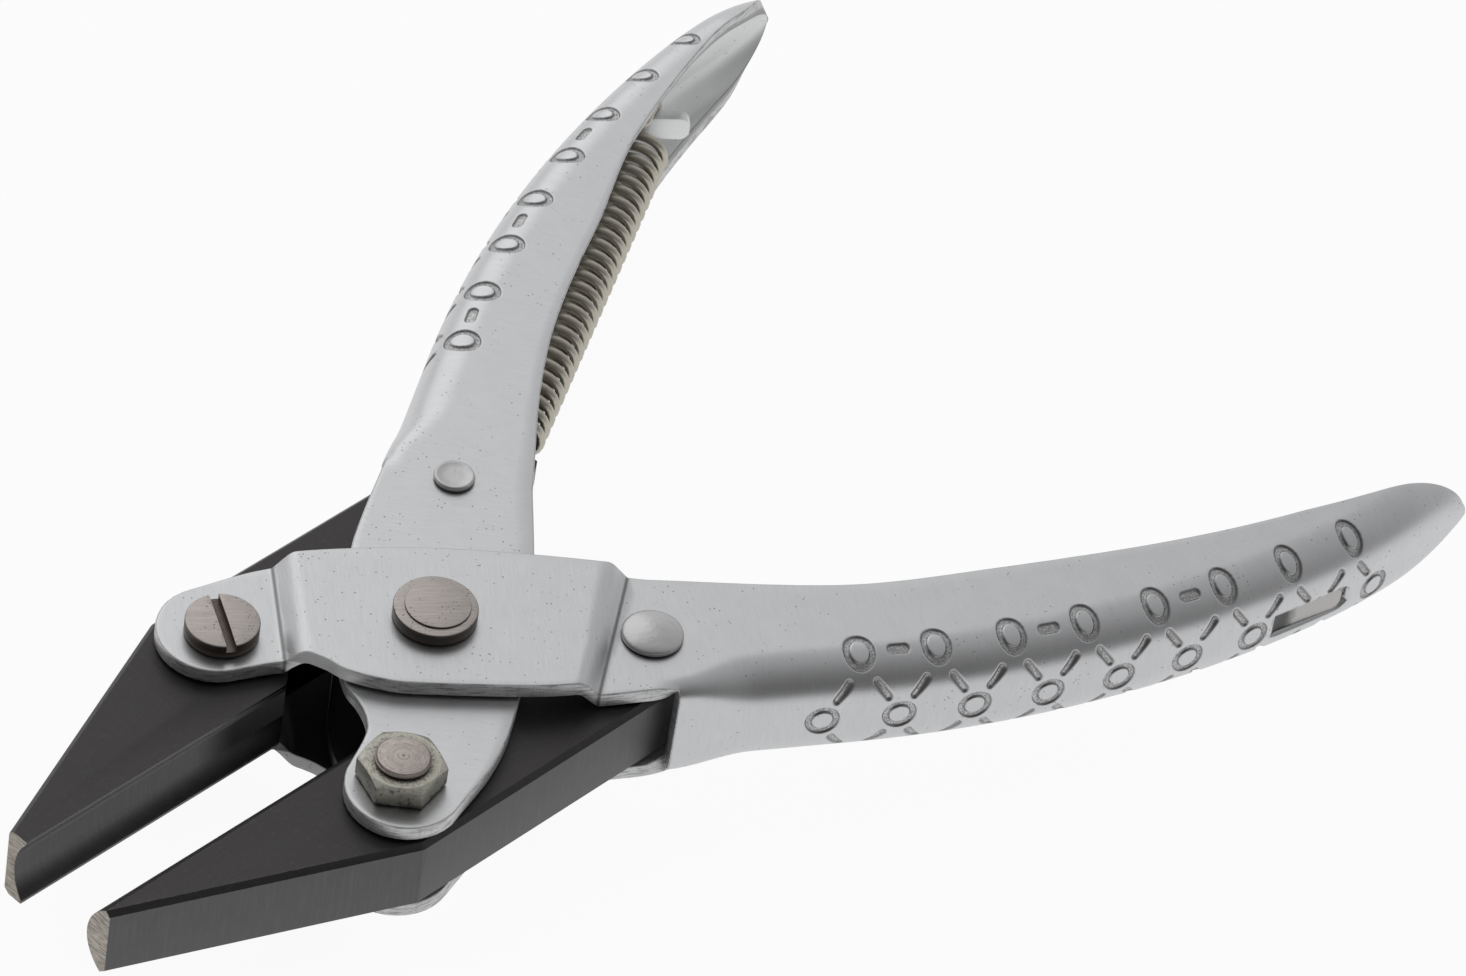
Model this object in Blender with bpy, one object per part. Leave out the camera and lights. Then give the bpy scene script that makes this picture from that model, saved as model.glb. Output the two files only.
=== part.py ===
"""Parallel-action pliers with a hollow and a half-round jaw, modelled open, in metres.

The main pivot stands on the origin along +Z. The jaw tips point along -Y, the handles along +Y.
Each jaw hinges on the front lobe of the opposite handle and slides on a rivet of its own handle,
so both jaws stay parallel while the handles close.
"""

import math

import bmesh
import bpy
import numpy as np
from mathutils import Matrix, Vector

MM = 0.001

# Driving dimensions of the linkage
SCREW_X = 11.53 * MM
SCREW_Y = 15.0 * MM
RIVET_X = 12.81 * MM
RIVET_Y = 15.0 * MM
CLOSED_GAP = 0.3 * MM

# Stack of jaw and cheeks
JAW_THICKNESS = 7.7 * MM
SHEET = 1.5 * MM
SIDE_GAP = 0.25 * MM
SEAT_GAP = 0.2 * MM
PIN_GAP = 0.15 * MM
SLOT_GAP = 0.2 * MM

# Pins and their heads
PIVOT_RADIUS = 2.5 * MM
PIVOT_HEAD_RADIUS = 3.83 * MM
PIVOT_HEAD_HEIGHT = 1.3 * MM
PIVOT_END_RADIUS = 3.05 * MM
COLLAR_HEIGHT = 1.0 * MM
SCREW_RADIUS = 2.0 * MM
SCREW_HEAD_RADIUS = 3.38 * MM
SCREW_HEAD_HEIGHT = 1.38 * MM
SCREW_END_RADIUS = 2.45 * MM
SCREW_END_HEIGHT = 0.4 * MM
SLOT_WIDTH = 0.9 * MM
SLOT_DEPTH = 0.75 * MM
SLOT_ANGLE = math.radians(-29.0)
NUT_FLATS = 7.0 * MM
NUT_HEIGHT = 2.2 * MM
NUT_ANGLE = math.radians(42.0)
RIVET_RADIUS = 1.5 * MM
RIVET_DOME_RADIUS = 2.82 * MM
RIVET_DOME_HEIGHT = 1.0 * MM
RIVET_END_RADIUS = 1.91 * MM
RIVET_END_HEIGHT = 0.4 * MM

# Jaws
TIP_Y = 44.5 * MM
HOLLOW_LIP_X = 4.34 * MM
HOLLOW_TIP_WIDTH = 2.12 * MM
HOLLOW_SAG = 1.2 * MM
HOLLOW_LAND = 0.3 * MM
ROUND_LIP_X = 5.9 * MM
ROUND_TIP_WIDTH = 0.5 * MM
ROUND_CROWN = 2.0 * MM
JAW_SIDE_X = 17.6 * MM
SHOULDER_Y = 17.6 * MM
SHOULDER_RADIUS = 1.2 * MM
THROAT_Y = 13.5 * MM
THROAT_RADIUS = 1.5 * MM
PIVOT_RELIEF = 1.3 * MM
TAIL_WALL = 2.0 * MM
JAW_CHAMFER = 0.7 * MM

# Handle cheeks, measured along the handle (rearwards) and across it (outwards)
LOBE_RADIUS = 5.3 * MM
LOBE_SHIFT = (-0.55 * MM, -0.45 * MM)
CHEEK_INNER = 8.85 * MM
CHEEK_OUTER = 8.75 * MM
MOUTH_BEHIND_RIVET = 1.75 * MM
RIVET_TO_BACK = 6.8 * MM
JOGGLE_RUN = 1.8 * MM
FRONT_JOGGLE_BEHIND_SCREW = 5.3 * MM
REAR_JOGGLE_AHEAD_OF_RIVET = 3.2 * MM
REAR_JOGGLE_SLANT = 0.3

# Folded channel: a straight run, a long bow and a tighter nose (the left handle is side -1)
CHANNEL_SLOPE = math.radians(6.0)
STRAIGHT_RUN = 17.0 * MM
BOW_RADIUS = 124.0 * MM
BOW_TURN = math.radians(23.1)
NOSE_RADIUS = 67.0 * MM
NOSE_TURN = {-1: math.radians(13.4), 1: math.radians(15.4)}
DEPTH_AT = (0.0, 0.2, 0.5, 0.8, 0.9, 1.0)
DEPTHS = {
    -1: (14.1 * MM, 11.4 * MM, 9.6 * MM, 6.2 * MM, 4.5 * MM, 1.6 * MM),
    1: (14.1 * MM, 11.4 * MM, 9.4 * MM, 5.6 * MM, 4.1 * MM, 1.7 * MM),
}
MOUTH_CORNER = 1.7 * MM
GRIP_CORNER = 4.1 * MM
CORNER_GROWS_OVER = 24.0 * MM
NOSE_LENGTH = 9.5 * MM

# Bent-in tab and return spring
TAB_START = 59.5 * MM
TAB_SLOT_LENGTH = 9.0 * MM
TAB_WIDTH = 2.8 * MM
TAB_LENGTH = 6.6 * MM
TAB_RISE = math.radians(52.0)
TAB_HOOK_AT = 4.6 * MM
TAB_DROP = 0.6 * MM
WIRE = 0.9 * MM
SPRING_OUTSIDE = 6.0 * MM
SPRING_COILS = 28
POINTS_PER_COIL = 9
HOOK_GAP = 0.35 * MM
FRONT_HOOK = 3.3 * MM
REAR_HOOK = 5.4 * MM
HOOK_SIDE = 2.2 * MM
HOOK_BEHIND_SLOT = 3.1 * MM
TAIL_END_WALL = 2.4 * MM

ROUND_STEPS = 28
ARC_STEPS = 10

# Values that follow from the driving dimensions
SCREW_REACH = math.hypot(SCREW_X, SCREW_Y)
RIVET_REACH = math.hypot(RIVET_X, RIVET_Y)
HALF_ANGLE = math.atan2(SCREW_X, SCREW_Y)
RIVET_ANGLE = math.atan2(RIVET_X, RIVET_Y)
JAW_TRAVEL = 0.5 * (HOLLOW_LIP_X + HOLLOW_SAG + ROUND_LIP_X - ROUND_CROWN - CLOSED_GAP)
CLOSED_HALF = math.asin((SCREW_X - JAW_TRAVEL) / SCREW_REACH)
CLOSING = HALF_ANGLE - CLOSED_HALF
HALF_JAW = 0.5 * JAW_THICKNESS
CHEEK_INSIDE = HALF_JAW + SIDE_GAP
CHEEK_TOP = CHEEK_INSIDE + SHEET
JOGGLE_RISE = SHEET + SIDE_GAP
OUTER_TOP = CHEEK_TOP + JOGGLE_RISE
MID_HEIGHT = OUTER_TOP + SEAT_GAP + PIVOT_HEAD_HEIGHT
CHANNEL_LENGTH = {
    side: STRAIGHT_RUN + BOW_RADIUS * BOW_TURN + NOSE_RADIUS * turn for side, turn in NOSE_TURN.items()
}
RIVET_U = RIVET_REACH * math.cos(RIVET_ANGLE - HALF_ANGLE)
RIVET_V = RIVET_REACH * math.sin(RIVET_ANGLE - HALF_ANGLE)
MOUTH_U = RIVET_U + MOUTH_BEHIND_RIVET
MOUTH_V = RIVET_V + RIVET_TO_BACK


def rivet_in_jaw(angle):
    """Rivet place seen from the jaw (from its screw) once each handle has turned by angle."""
    x = RIVET_REACH * math.sin(RIVET_ANGLE - angle) - SCREW_REACH * math.sin(HALF_ANGLE - angle)
    y = RIVET_REACH * math.cos(RIVET_ANGLE - angle) + SCREW_REACH * math.cos(HALF_ANGLE - angle)
    return x, y


PATH = [rivet_in_jaw(CLOSING * step / 20) for step in range(21)]
SLOT_X = 0.5 * (min(p[0] for p in PATH) + max(p[0] for p in PATH)) + SCREW_X
SLOT_DRIFT = 0.5 * (max(p[0] for p in PATH) - min(p[0] for p in PATH))
SLOT_FRONT_Y = PATH[0][1] - SCREW_Y
SLOT_REAR_Y = PATH[-1][1] - SCREW_Y
SLOT_HALF = RIVET_RADIUS + SLOT_GAP + SLOT_DRIFT
RELIEF_X = JAW_TRAVEL + PIVOT_RADIUS + PIVOT_RELIEF
HOOK_RADIUS = 0.5 * TAB_WIDTH + HOOK_GAP + 0.5 * WIRE
HOOK_HOLE = (SLOT_X + HOOK_SIDE, SLOT_REAR_Y + HOOK_BEHIND_SLOT)
HOOK_HOLE_RADIUS = 0.5 * WIRE + 0.25 * MM + 0.3 * MM
TAIL_TONGUE = 2.0 * (HOOK_RADIUS - 0.5 * WIRE - HOOK_GAP)
TAIL_END_Y = HOOK_HOLE[1] + TAIL_END_WALL


def clear_scene():
    for item in list(bpy.data.objects):
        bpy.data.objects.remove(item, do_unlink=True)


def material(name, colour, roughness):
    made = bpy.data.materials.new(name)
    made.use_nodes = True
    shader = made.node_tree.nodes["Principled BSDF"]
    shader.inputs["Base Color"].default_value = (*colour, 1.0)
    shader.inputs["Metallic"].default_value = 1.0
    shader.inputs["Roughness"].default_value = roughness
    return made


def empty(name, place, turn=0.0):
    made = bpy.data.objects.new(name, None)
    made.location = place
    made.rotation_euler = (0.0, 0.0, turn)
    bpy.context.scene.collection.objects.link(made)
    return made


def body(name, bm, parent):
    """One closed mesh object under its joint's empty."""
    bmesh.ops.recalc_face_normals(bm, faces=bm.faces)
    mesh = bpy.data.meshes.new(name)
    bm.to_mesh(mesh)
    bm.free()
    made = bpy.data.objects.new(name, mesh)
    made.parent = parent
    bpy.context.scene.collection.objects.link(made)
    return made


def helper(name, bm, parent):
    made = body(name, bm, parent)
    made.hide_render = True
    made.display_type = "WIRE"
    return made


def combine(target, tool, operation="DIFFERENCE"):
    change = target.modifiers.new(tool.name, "BOOLEAN")
    change.operation = operation
    change.solver = "EXACT"
    change.object = tool


def prism(outline, low, high):
    """A plan outline of (x, y) points raised from low to high."""
    bm = bmesh.new()
    base = bm.faces.new([bm.verts.new((x, y, low)) for x, y in outline])
    raised = bmesh.ops.extrude_face_region(bm, geom=[base])
    top = [v for v in raised["geom"] if isinstance(v, bmesh.types.BMVert)]
    bmesh.ops.translate(bm, verts=top, vec=(0.0, 0.0, high - low))
    return bm


def bar_along_y(profile, start, end):
    """A profile of (x, z) points drawn out along Y from start to end."""
    bm = bmesh.new()
    base = bm.faces.new([bm.verts.new((x, start, z)) for x, z in profile])
    drawn = bmesh.ops.extrude_face_region(bm, geom=[base])
    far = [v for v in drawn["geom"] if isinstance(v, bmesh.types.BMVert)]
    bmesh.ops.translate(bm, verts=far, vec=(0.0, end - start, 0.0))
    return bm


def rod(radius, low, high, centre=(0.0, 0.0), steps=ROUND_STEPS):
    bm = bmesh.new()
    middle = Matrix.Translation((centre[0], centre[1], 0.5 * (low + high)))
    bmesh.ops.create_cone(
        bm,
        cap_ends=True,
        segments=steps,
        radius1=radius,
        radius2=radius,
        depth=high - low,
        matrix=middle,
    )
    return bm


def turned(profile, steps=ROUND_STEPS):
    """A closed solid of revolution from (radius, height) points, first and last on the axis."""
    bm = bmesh.new()
    points = [bm.verts.new((radius, 0.0, height)) for radius, height in profile]
    edges = [bm.edges.new(pair) for pair in zip(points, points[1:])]
    bmesh.ops.spin(
        bm,
        geom=points + edges,
        axis=(0.0, 0.0, 1.0),
        angle=2.0 * math.pi,
        steps=steps,
        use_merge=True,
    )
    bmesh.ops.remove_doubles(bm, verts=bm.verts, dist=1e-7)
    return bm


def arc(centre, radius, start, end, steps=ARC_STEPS):
    angles = [start + (end - start) * step / steps for step in range(steps + 1)]
    return [(centre[0] + radius * math.cos(a), centre[1] + radius * math.sin(a)) for a in angles]


def rounded(corner, before, after, radius, steps=5):
    """Points that round the corner of two straight edges."""
    corner = Vector(corner)
    one = (Vector(before) - corner).normalized()
    two = (Vector(after) - corner).normalized()
    half = 0.5 * one.angle(two)
    middle = corner + (one + two).normalized() * radius / math.sin(half)
    first = corner + one * radius / math.tan(half) - middle
    turn = first.angle_signed(corner + two * radius / math.tan(half) - middle)
    points = []
    for step in range(steps + 1):
        swung = first.copy()
        swung.rotate(Matrix.Rotation(-turn * step / steps, 2))
        points.append(tuple(middle + swung))
    return points


def smooth(points, steps=4):
    """A smooth line through the points, with the same number of steps in each stretch."""
    ends = [2 * np.array(points[0]) - np.array(points[1])]
    ends += [np.array(point) for point in points]
    ends += [2 * np.array(points[-1]) - np.array(points[-2])]
    line = []
    for a, b, c, d in zip(ends, ends[1:], ends[2:], ends[3:]):
        for step in range(steps):
            t = step / steps
            curve = 2 * b + (c - a) * t + (2 * a - 5 * b + 4 * c - d) * t**2
            line.append(tuple(0.5 * (curve + (3 * b - a - 3 * c + d) * t**3)))
    return line + [tuple(points[-1])]


def mirrored(outline, side):
    return [(side * x, y) for x, y in outline]


def loft(rings):
    """A closed solid through rings of points, each ring with the same count."""
    bm = bmesh.new()
    loops = [[bm.verts.new(point) for point in ring] for ring in rings]
    for near, far in zip(loops, loops[1:]):
        for i in range(len(near)):
            j = (i + 1) % len(near)
            bm.faces.new((near[i], near[j], far[j], far[i]))
    bm.faces.new(loops[0])
    bm.faces.new(loops[-1])
    bmesh.ops.triangulate(bm, faces=bm.faces)
    return bm


# Jaws, drawn round their own screw


def jaw(name, side, lip, tip_width, parent):
    """The jaw blank with its screw hole and rivet slot; the gripping face is cut afterwards."""

    def local(x, y):
        return side * (x - SCREW_X), y + SCREW_Y

    tail_x = SLOT_X - SLOT_HALF - TAIL_WALL
    throat_end = THROAT_Y - (RELIEF_X - lip)
    tail_cut_x = HOOK_HOLE[0] - TAIL_END_WALL
    inner = [(lip, -TIP_Y)]
    inner += rounded((lip, -THROAT_Y), (lip, -TIP_Y), (RELIEF_X, -throat_end), THROAT_RADIUS)
    inner += [(RELIEF_X, -throat_end), (RELIEF_X, RIVET_Y - 2 * SLOT_HALF)]
    inner += [(tail_x, RIVET_Y - SLOT_HALF), (tail_x, SLOT_REAR_Y + 0.3 * SLOT_HALF)]
    inner += [(tail_cut_x, TAIL_END_Y)]
    shoulder = (JAW_SIDE_X, -SHOULDER_Y)
    tip_out = (lip + tip_width, -TIP_Y)
    outer = [(JAW_SIDE_X - 1.5 * MM, TAIL_END_Y), (JAW_SIDE_X, TAIL_END_Y - 1.5 * MM)]
    outer += rounded(shoulder, outer[-1], tip_out, SHOULDER_RADIUS, 4)
    outer += [tip_out]
    bm = prism([local(*point) for point in inner + outer], -HALF_JAW, HALF_JAW)
    outside = {tuple(round(c, 7) for c in local(*point)) for point in outer[1:]}

    def on_outside(vert):
        return (round(vert.co.x, 7), round(vert.co.y, 7)) in outside

    edges = [
        edge
        for edge in bm.edges
        if all(on_outside(v) for v in edge.verts) and abs(edge.verts[0].co.z - edge.verts[1].co.z) < 1e-9
    ]
    edges = [edge for edge in edges if len(edge.link_faces) == 2]
    bmesh.ops.bevel(
        bm, geom=edges, offset=JAW_CHAMFER, offset_type="WIDTH", segments=1, affect="EDGES", profile=0.5
    )
    made = body(name, bm, parent)

    hole = helper(name + "_screw_hole", rod(SCREW_RADIUS + PIN_GAP, -HALF_JAW - MM, HALF_JAW + MM), parent)
    combine(made, hole)
    x, front = local(SLOT_X, SLOT_FRONT_Y)
    rear = local(SLOT_X, SLOT_REAR_Y)[1]
    ends = arc((x, rear), SLOT_HALF, 0.0, math.pi, 12) + arc((x, front), SLOT_HALF, math.pi, 2 * math.pi, 12)
    combine(made, helper(name + "_slot", prism(ends, -HALF_JAW - MM, HALF_JAW + MM), parent))
    return made


def hollow_face(made, parent):
    """Hollow along the left jaw's gripping face."""
    lip = SCREW_X - HOLLOW_LIP_X
    half = HALF_JAW - HOLLOW_LAND
    radius = (half**2 + HOLLOW_SAG**2) / (2 * HOLLOW_SAG)
    spread = math.asin(half / radius)
    centre = (lip - HOLLOW_SAG + radius, 0.0)
    profile = arc(centre, radius, math.pi - spread, math.pi + spread, 14)
    profile += [(lip + MM, profile[-1][1]), (lip + MM, profile[0][1])]
    start = SCREW_Y - TIP_Y - MM
    end = SCREW_Y - THROAT_Y + MM
    combine(made, helper("left_jaw_hollow", bar_along_y(profile, start, end), parent))


def round_face(made, parent):
    """Rounds the right jaw's gripping face, whose blank reaches to the crown."""
    lip = ROUND_LIP_X - SCREW_X
    radius = (HALF_JAW**2 + ROUND_CROWN**2) / (2 * ROUND_CROWN)
    spread = math.asin(HALF_JAW / radius)
    centre = (lip - ROUND_CROWN + radius, 0.0)
    profile = arc(centre, radius, math.pi - spread, math.pi + spread, 14)
    low = -HALF_JAW - MM
    profile = [(lip, -low)] + profile + [(lip, low)]
    profile += [(lip - 2 * ROUND_CROWN, low), (lip - 2 * ROUND_CROWN, -low)]
    start = SCREW_Y - TIP_Y - MM
    end = SCREW_Y - THROAT_Y + MM
    combine(made, helper("right_jaw_round", bar_along_y(profile, start, end), parent))


def tail_tongue(made, parent):
    """Thins the end of the left jaw's tail to a tongue with a hole for the spring's hook."""
    hole_x = SCREW_X - HOOK_HOLE[0]
    hole_y = HOOK_HOLE[1] + SCREW_Y
    start = hole_y - HOOK_HOLE_RADIUS - 0.2 * MM
    end = TAIL_END_Y + SCREW_Y + MM
    far = SCREW_X - JAW_SIDE_X - MM
    near = SCREW_X - SLOT_X + SLOT_HALF + TAIL_WALL + MM
    patch = [(far, start), (near, start), (near, end), (far, end)]
    for name, low in (("above", 0.5 * TAIL_TONGUE), ("below", -HALF_JAW - MM)):
        high = low + HALF_JAW + MM - 0.5 * TAIL_TONGUE
        combine(made, helper("left_jaw_tail_" + name, prism(patch, low, high), parent))
    hole = rod(HOOK_HOLE_RADIUS, -HALF_JAW, HALF_JAW, (hole_x, hole_y), 16)
    combine(made, helper("left_jaw_hook_hole", hole, parent))


# Handles, drawn with Y along the handle and X across it


def channel_line(run, side):
    """Outer back line of the channel at a length along it: place, rearward and inward direction."""
    u, v = MOUTH_U, MOUTH_V
    heading = CHANNEL_SLOPE
    straight = min(run, STRAIGHT_RUN)
    u += straight * math.cos(heading)
    v -= straight * math.sin(heading)
    left = run - straight
    for radius, turn in ((BOW_RADIUS, BOW_TURN), (NOSE_RADIUS, NOSE_TURN[side])):
        bend = min(left / radius, turn)
        u += radius * (math.sin(heading + bend) - math.sin(heading))
        v -= radius * (math.cos(heading) - math.cos(heading + bend))
        heading += bend
        left -= radius * bend
    along = Vector((-math.sin(heading), math.cos(heading)))
    inward = Vector((-math.cos(heading), -math.sin(heading)))
    return Vector((v, u)), along, inward


def channel_depth(run, side):
    line = np.array(smooth(list(zip(DEPTH_AT, DEPTHS[side])), 6))
    return float(np.interp(run / CHANNEL_LENGTH[side], line[:, 0], line[:, 1]))


def channel_half(run, side):
    """Half the channel's height: full up to the nose, then rounded off."""
    over = max(0.0, run - (CHANNEL_LENGTH[side] - NOSE_LENGTH)) / NOSE_LENGTH
    return CHEEK_TOP * math.sqrt(max(1.0 - over**2.2, 0.03))


def channel_ring(side, run, inset=0.0):
    """Section of the channel's outside, or of its cavity when inset by the sheet."""
    place, along, inward = channel_line(max(run, 0.0), side)
    if run < 0.0:
        place = place + along * run
    depth = channel_depth(max(run, 0.0), side)
    half = channel_half(run, side)
    grow = min(max(run, 0.0) / CORNER_GROWS_OVER, 1.0)
    corner = MOUTH_CORNER + (GRIP_CORNER - MOUTH_CORNER) * grow * grow * (3 - 2 * grow)
    across = min(corner, 0.95 * depth)
    tall = min(corner, 0.95 * half)
    far = depth
    if inset:
        half -= inset
        across = max(across - inset, 0.3 * MM)
        tall = min(max(tall - inset, 0.3 * MM), 0.9 * half)
        far = depth + 3 * MM
    points = [(far, half)]
    for step in range(6):
        turn = 0.5 * math.pi * step / 5
        points.append((inset + across * (1 - math.sin(turn)), half - tall * (1 - math.cos(turn))))
    points += [(w, -z) for w, z in reversed(points)]
    ring = []
    for w, z in points:
        spot = place + inward * w
        ring.append((side * spot.x, spot.y, z))
    return ring


def block_ring(side, back, half, spread):
    """Section of the wide block in front of the mouth, whose plan is trimmed afterwards."""
    place, _, inward = channel_line(0.0, side)
    outer = MOUTH_V - CHEEK_OUTER - spread
    inner = MOUTH_V + CHEEK_INNER + spread
    soft = 0.5 * MM
    points = [(inner, half)]
    for step in range(6):
        turn = 0.5 * math.pi * step / 5
        points.append((outer + soft * (1 - math.sin(turn)), half - soft * (1 - math.cos(turn))))
    points += [(w, -z) for w, z in reversed(points)]
    ring = []
    for w, z in points:
        spot = place + inward * w
        ring.append((side * spot.x, spot.y + back, z))
    return ring


def handle_plan(side):
    """Plan of the cheeks in front of the mouth as (across, along) points, kept wide round the grip."""
    screw_u = -SCREW_REACH
    lobe = (LOBE_SHIFT[1], screw_u + LOBE_SHIFT[0])
    place, along, inward = channel_line(0.0, side)
    rim = place + inward * (channel_depth(0.0, side) + 0.08 * MM) - along * 0.4 * MM
    inner = [
        tuple(rim),
        (-0.88 * CHEEK_INNER, 0.5 * RIVET_U),
        (-0.99 * CHEEK_INNER, 0.0),
        (-0.975 * CHEEK_INNER, 0.5 * screw_u),
        (-0.87 * CHEEK_INNER, 0.8 * screw_u),
    ]
    nose = arc(lobe, LOBE_RADIUS, math.radians(198), math.radians(368), 16)
    outer = [
        (0.44 * CHEEK_OUTER, screw_u + 4.6 * MM),
        (0.46 * CHEEK_OUTER, screw_u + 6.6 * MM),
        (0.585 * CHEEK_OUTER, screw_u + 8.7 * MM),
        (0.74 * CHEEK_OUTER, screw_u + 10.4 * MM),
        (0.875 * CHEEK_OUTER, screw_u + 13.4 * MM),
        (0.94 * CHEEK_OUTER, screw_u + 16.6 * MM),
        (CHEEK_OUTER, 0.4 * RIVET_U),
        (0.955 * CHEEK_OUTER, 0.7 * RIVET_U),
        (MOUTH_V - 0.5 * MM, MOUTH_U),
    ]
    tip = channel_line(CHANNEL_LENGTH[side], side)[0]
    wide = 8.0 * MM
    far = tip.y + wide
    around = [
        (MOUTH_V + wide, MOUTH_U + MM),
        (MOUTH_V + wide, far),
        (tip.x - wide, far),
        (tip.x - wide, rim.y + MM),
    ]
    return mirrored(smooth(inner) + nose + smooth(outer, 3) + around, side)


def joggle(bm, side):
    """Lifts the front of the outer handle over the inner one, between a front and a rear ramp."""
    front = -SCREW_REACH + FRONT_JOGGLE_BEHIND_SCREW
    rear = RIVET_U - REAR_JOGGLE_AHEAD_OF_RIVET
    slant = Vector((side * REAR_JOGGLE_SLANT, 1.0, 0.0)).normalized()
    for part in (0.0, 0.25, 0.5, 0.75, 1.0):
        for place, normal in (
            ((0.0, front + JOGGLE_RUN * part, 0.0), (0.0, 1.0, 0.0)),
            ((0.0, rear - JOGGLE_RUN * part, 0.0), slant),
        ):
            parts = bm.verts[:] + bm.edges[:] + bm.faces[:]
            bmesh.ops.bisect_plane(bm, geom=parts, plane_co=place, plane_no=normal, dist=1e-8)
    for vert in bm.verts:
        ahead = (vert.co.y - front) / JOGGLE_RUN
        behind = (rear - vert.co.y - side * REAR_JOGGLE_SLANT * vert.co.x) / JOGGLE_RUN
        lift = min(max(min(ahead, behind), 0.0), 1.0)
        vert.co.z += math.copysign(JOGGLE_RISE * lift * lift * (3 - 2 * lift), vert.co.z)
    bmesh.ops.triangulate(bm, faces=bm.faces)
    return bm


def nose_runs(count, side):
    start = CHANNEL_LENGTH[side] - NOSE_LENGTH
    return [start + NOSE_LENGTH * math.sin(0.5 * math.pi * step / count) for step in range(1, count + 1)]


def tab_frame(side):
    """Base of the bent-in tab on the middle of the back sheet, its direction and its rear side."""
    place, along, inward = channel_line(TAB_START, side)
    base = place + inward * 0.5 * SHEET
    out = along * math.cos(TAB_RISE) + inward * math.sin(TAB_RISE)
    rear = along * math.sin(TAB_RISE) - inward * math.cos(TAB_RISE)
    flip = Vector((side, 1.0))
    return base * flip, out * flip, rear * flip


def handle(name, side, joggled, parent):
    """Folded handle: block and channel, cavity, plan, lanced tab and the holes for its pins."""
    start = CHANNEL_LENGTH[side] - NOSE_LENGTH
    front = -MOUTH_U - SCREW_REACH - LOBE_RADIUS
    rings = [block_ring(side, back, CHEEK_TOP, 3 * MM) for back in (front - 3 * MM, -0.8 * MM)]
    runs = [-0.6 * MM] + [start * step / 16 for step in range(1, 17)] + nose_runs(7, side)
    rings += [channel_ring(side, run) for run in runs]
    outside = loft(rings)
    rings = [block_ring(side, back, CHEEK_INSIDE, 5 * MM) for back in (front - 6 * MM, -0.2 * MM)]
    runs = [0.0] + [start * (step + 0.5) / 16 for step in range(1, 16)] + nose_runs(6, side)
    runs = [run for run in runs if channel_half(run, side) > SHEET + 0.8 * MM]
    rings += [channel_ring(side, run, SHEET) for run in runs]
    cavity = loft(rings)
    if joggled:
        joggle(outside, side)
        joggle(cavity, side)
    made = body(name, outside, parent)
    tall = OUTER_TOP + MM
    plan = prism(handle_plan(side), -tall, tall)
    combine(made, helper(name + "_plan", plan, parent), "INTERSECT")
    combine(made, helper(name + "_cavity", cavity, parent))

    place, along, inward = channel_line(TAB_START + 0.5 * TAB_SLOT_LENGTH, side)
    flip = Vector((side, 1.0))
    along = along * flip
    inward = inward * flip
    middle = place * flip + inward * 0.5 * SHEET
    turn = Matrix((
        (along.x, 0.0, inward.x, middle.x),
        (along.y, 0.0, inward.y, middle.y),
        (0.0, 1.0, 0.0, -TAB_DROP),
        (0.0, 0.0, 0.0, 1.0),
    ))
    half = 0.5 * TAB_WIDTH
    long = 0.5 * TAB_SLOT_LENGTH
    opening = arc((long - half, 0.0), half, -0.5 * math.pi, 0.5 * math.pi)
    opening = [(-long, -half)] + opening + [(-long, half)]
    slot = prism(opening, -SHEET, SHEET)
    bmesh.ops.transform(slot, matrix=turn, verts=slot.verts)
    combine(made, helper(name + "_tab_slot", slot, parent))

    base, out, rear = tab_frame(side)
    turn = Matrix((
        (out.x, 0.0, rear.x, base.x),
        (out.y, 0.0, rear.y, base.y),
        (0.0, 1.0, 0.0, -TAB_DROP),
        (0.0, 0.0, 0.0, 1.0),
    ))
    narrow = half - 0.1 * MM
    tongue = arc((TAB_LENGTH - narrow, 0.0), narrow, -0.5 * math.pi, 0.5 * math.pi)
    tongue = [(-0.55 * SHEET, -narrow)] + tongue + [(-0.55 * SHEET, narrow)]
    tab = prism(tongue, -0.45 * SHEET, 0.45 * SHEET)
    bmesh.ops.transform(tab, matrix=turn, verts=tab.verts)
    combine(made, helper(name + "_tab", tab, parent), "UNION")

    for label, u, v, radius in (
        ("pivot", 0.0, 0.0, PIVOT_RADIUS + PIN_GAP),
        ("screw", -SCREW_REACH, 0.0, SCREW_RADIUS + PIN_GAP),
        ("rivet", RIVET_U, RIVET_V, RIVET_RADIUS + PIN_GAP),
    ):
        hole = helper(f"{name}_{label}_hole", rod(radius, -tall, tall, (side * v, u)), parent)
        combine(made, hole)
    return made


# Pins, screws and nuts


def pivot_pin(parent):
    """Pin with a turned lower head; its upper end is riveted over the collar."""
    head = OUTER_TOP + SEAT_GAP
    low = head + PIVOT_HEAD_HEIGHT
    seat = head + COLLAR_HEIGHT + SEAT_GAP
    top = head + PIVOT_HEAD_HEIGHT
    soft = 0.25 * MM
    profile = [
        (0.0, -low),
        (PIVOT_HEAD_RADIUS - soft, -low),
        (PIVOT_HEAD_RADIUS, -low + soft),
        (PIVOT_HEAD_RADIUS, -head),
        (PIVOT_RADIUS, -head),
        (PIVOT_RADIUS, seat),
        (PIVOT_END_RADIUS, seat),
        (PIVOT_END_RADIUS - 0.5 * (top - seat), top),
        (0.0, top),
    ]
    return body("pivot_pin", turned(profile), parent)


def pivot_collar(parent):
    low = OUTER_TOP + SEAT_GAP
    high = low + COLLAR_HEIGHT
    soft = 0.25 * MM
    bore = PIVOT_RADIUS + PIN_GAP
    profile = [
        (bore, low),
        (PIVOT_HEAD_RADIUS, low),
        (PIVOT_HEAD_RADIUS, high - soft),
        (PIVOT_HEAD_RADIUS - soft, high),
        (bore, high),
        (bore, low),
    ]
    return body("pivot_collar", turned(profile), parent)


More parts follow.
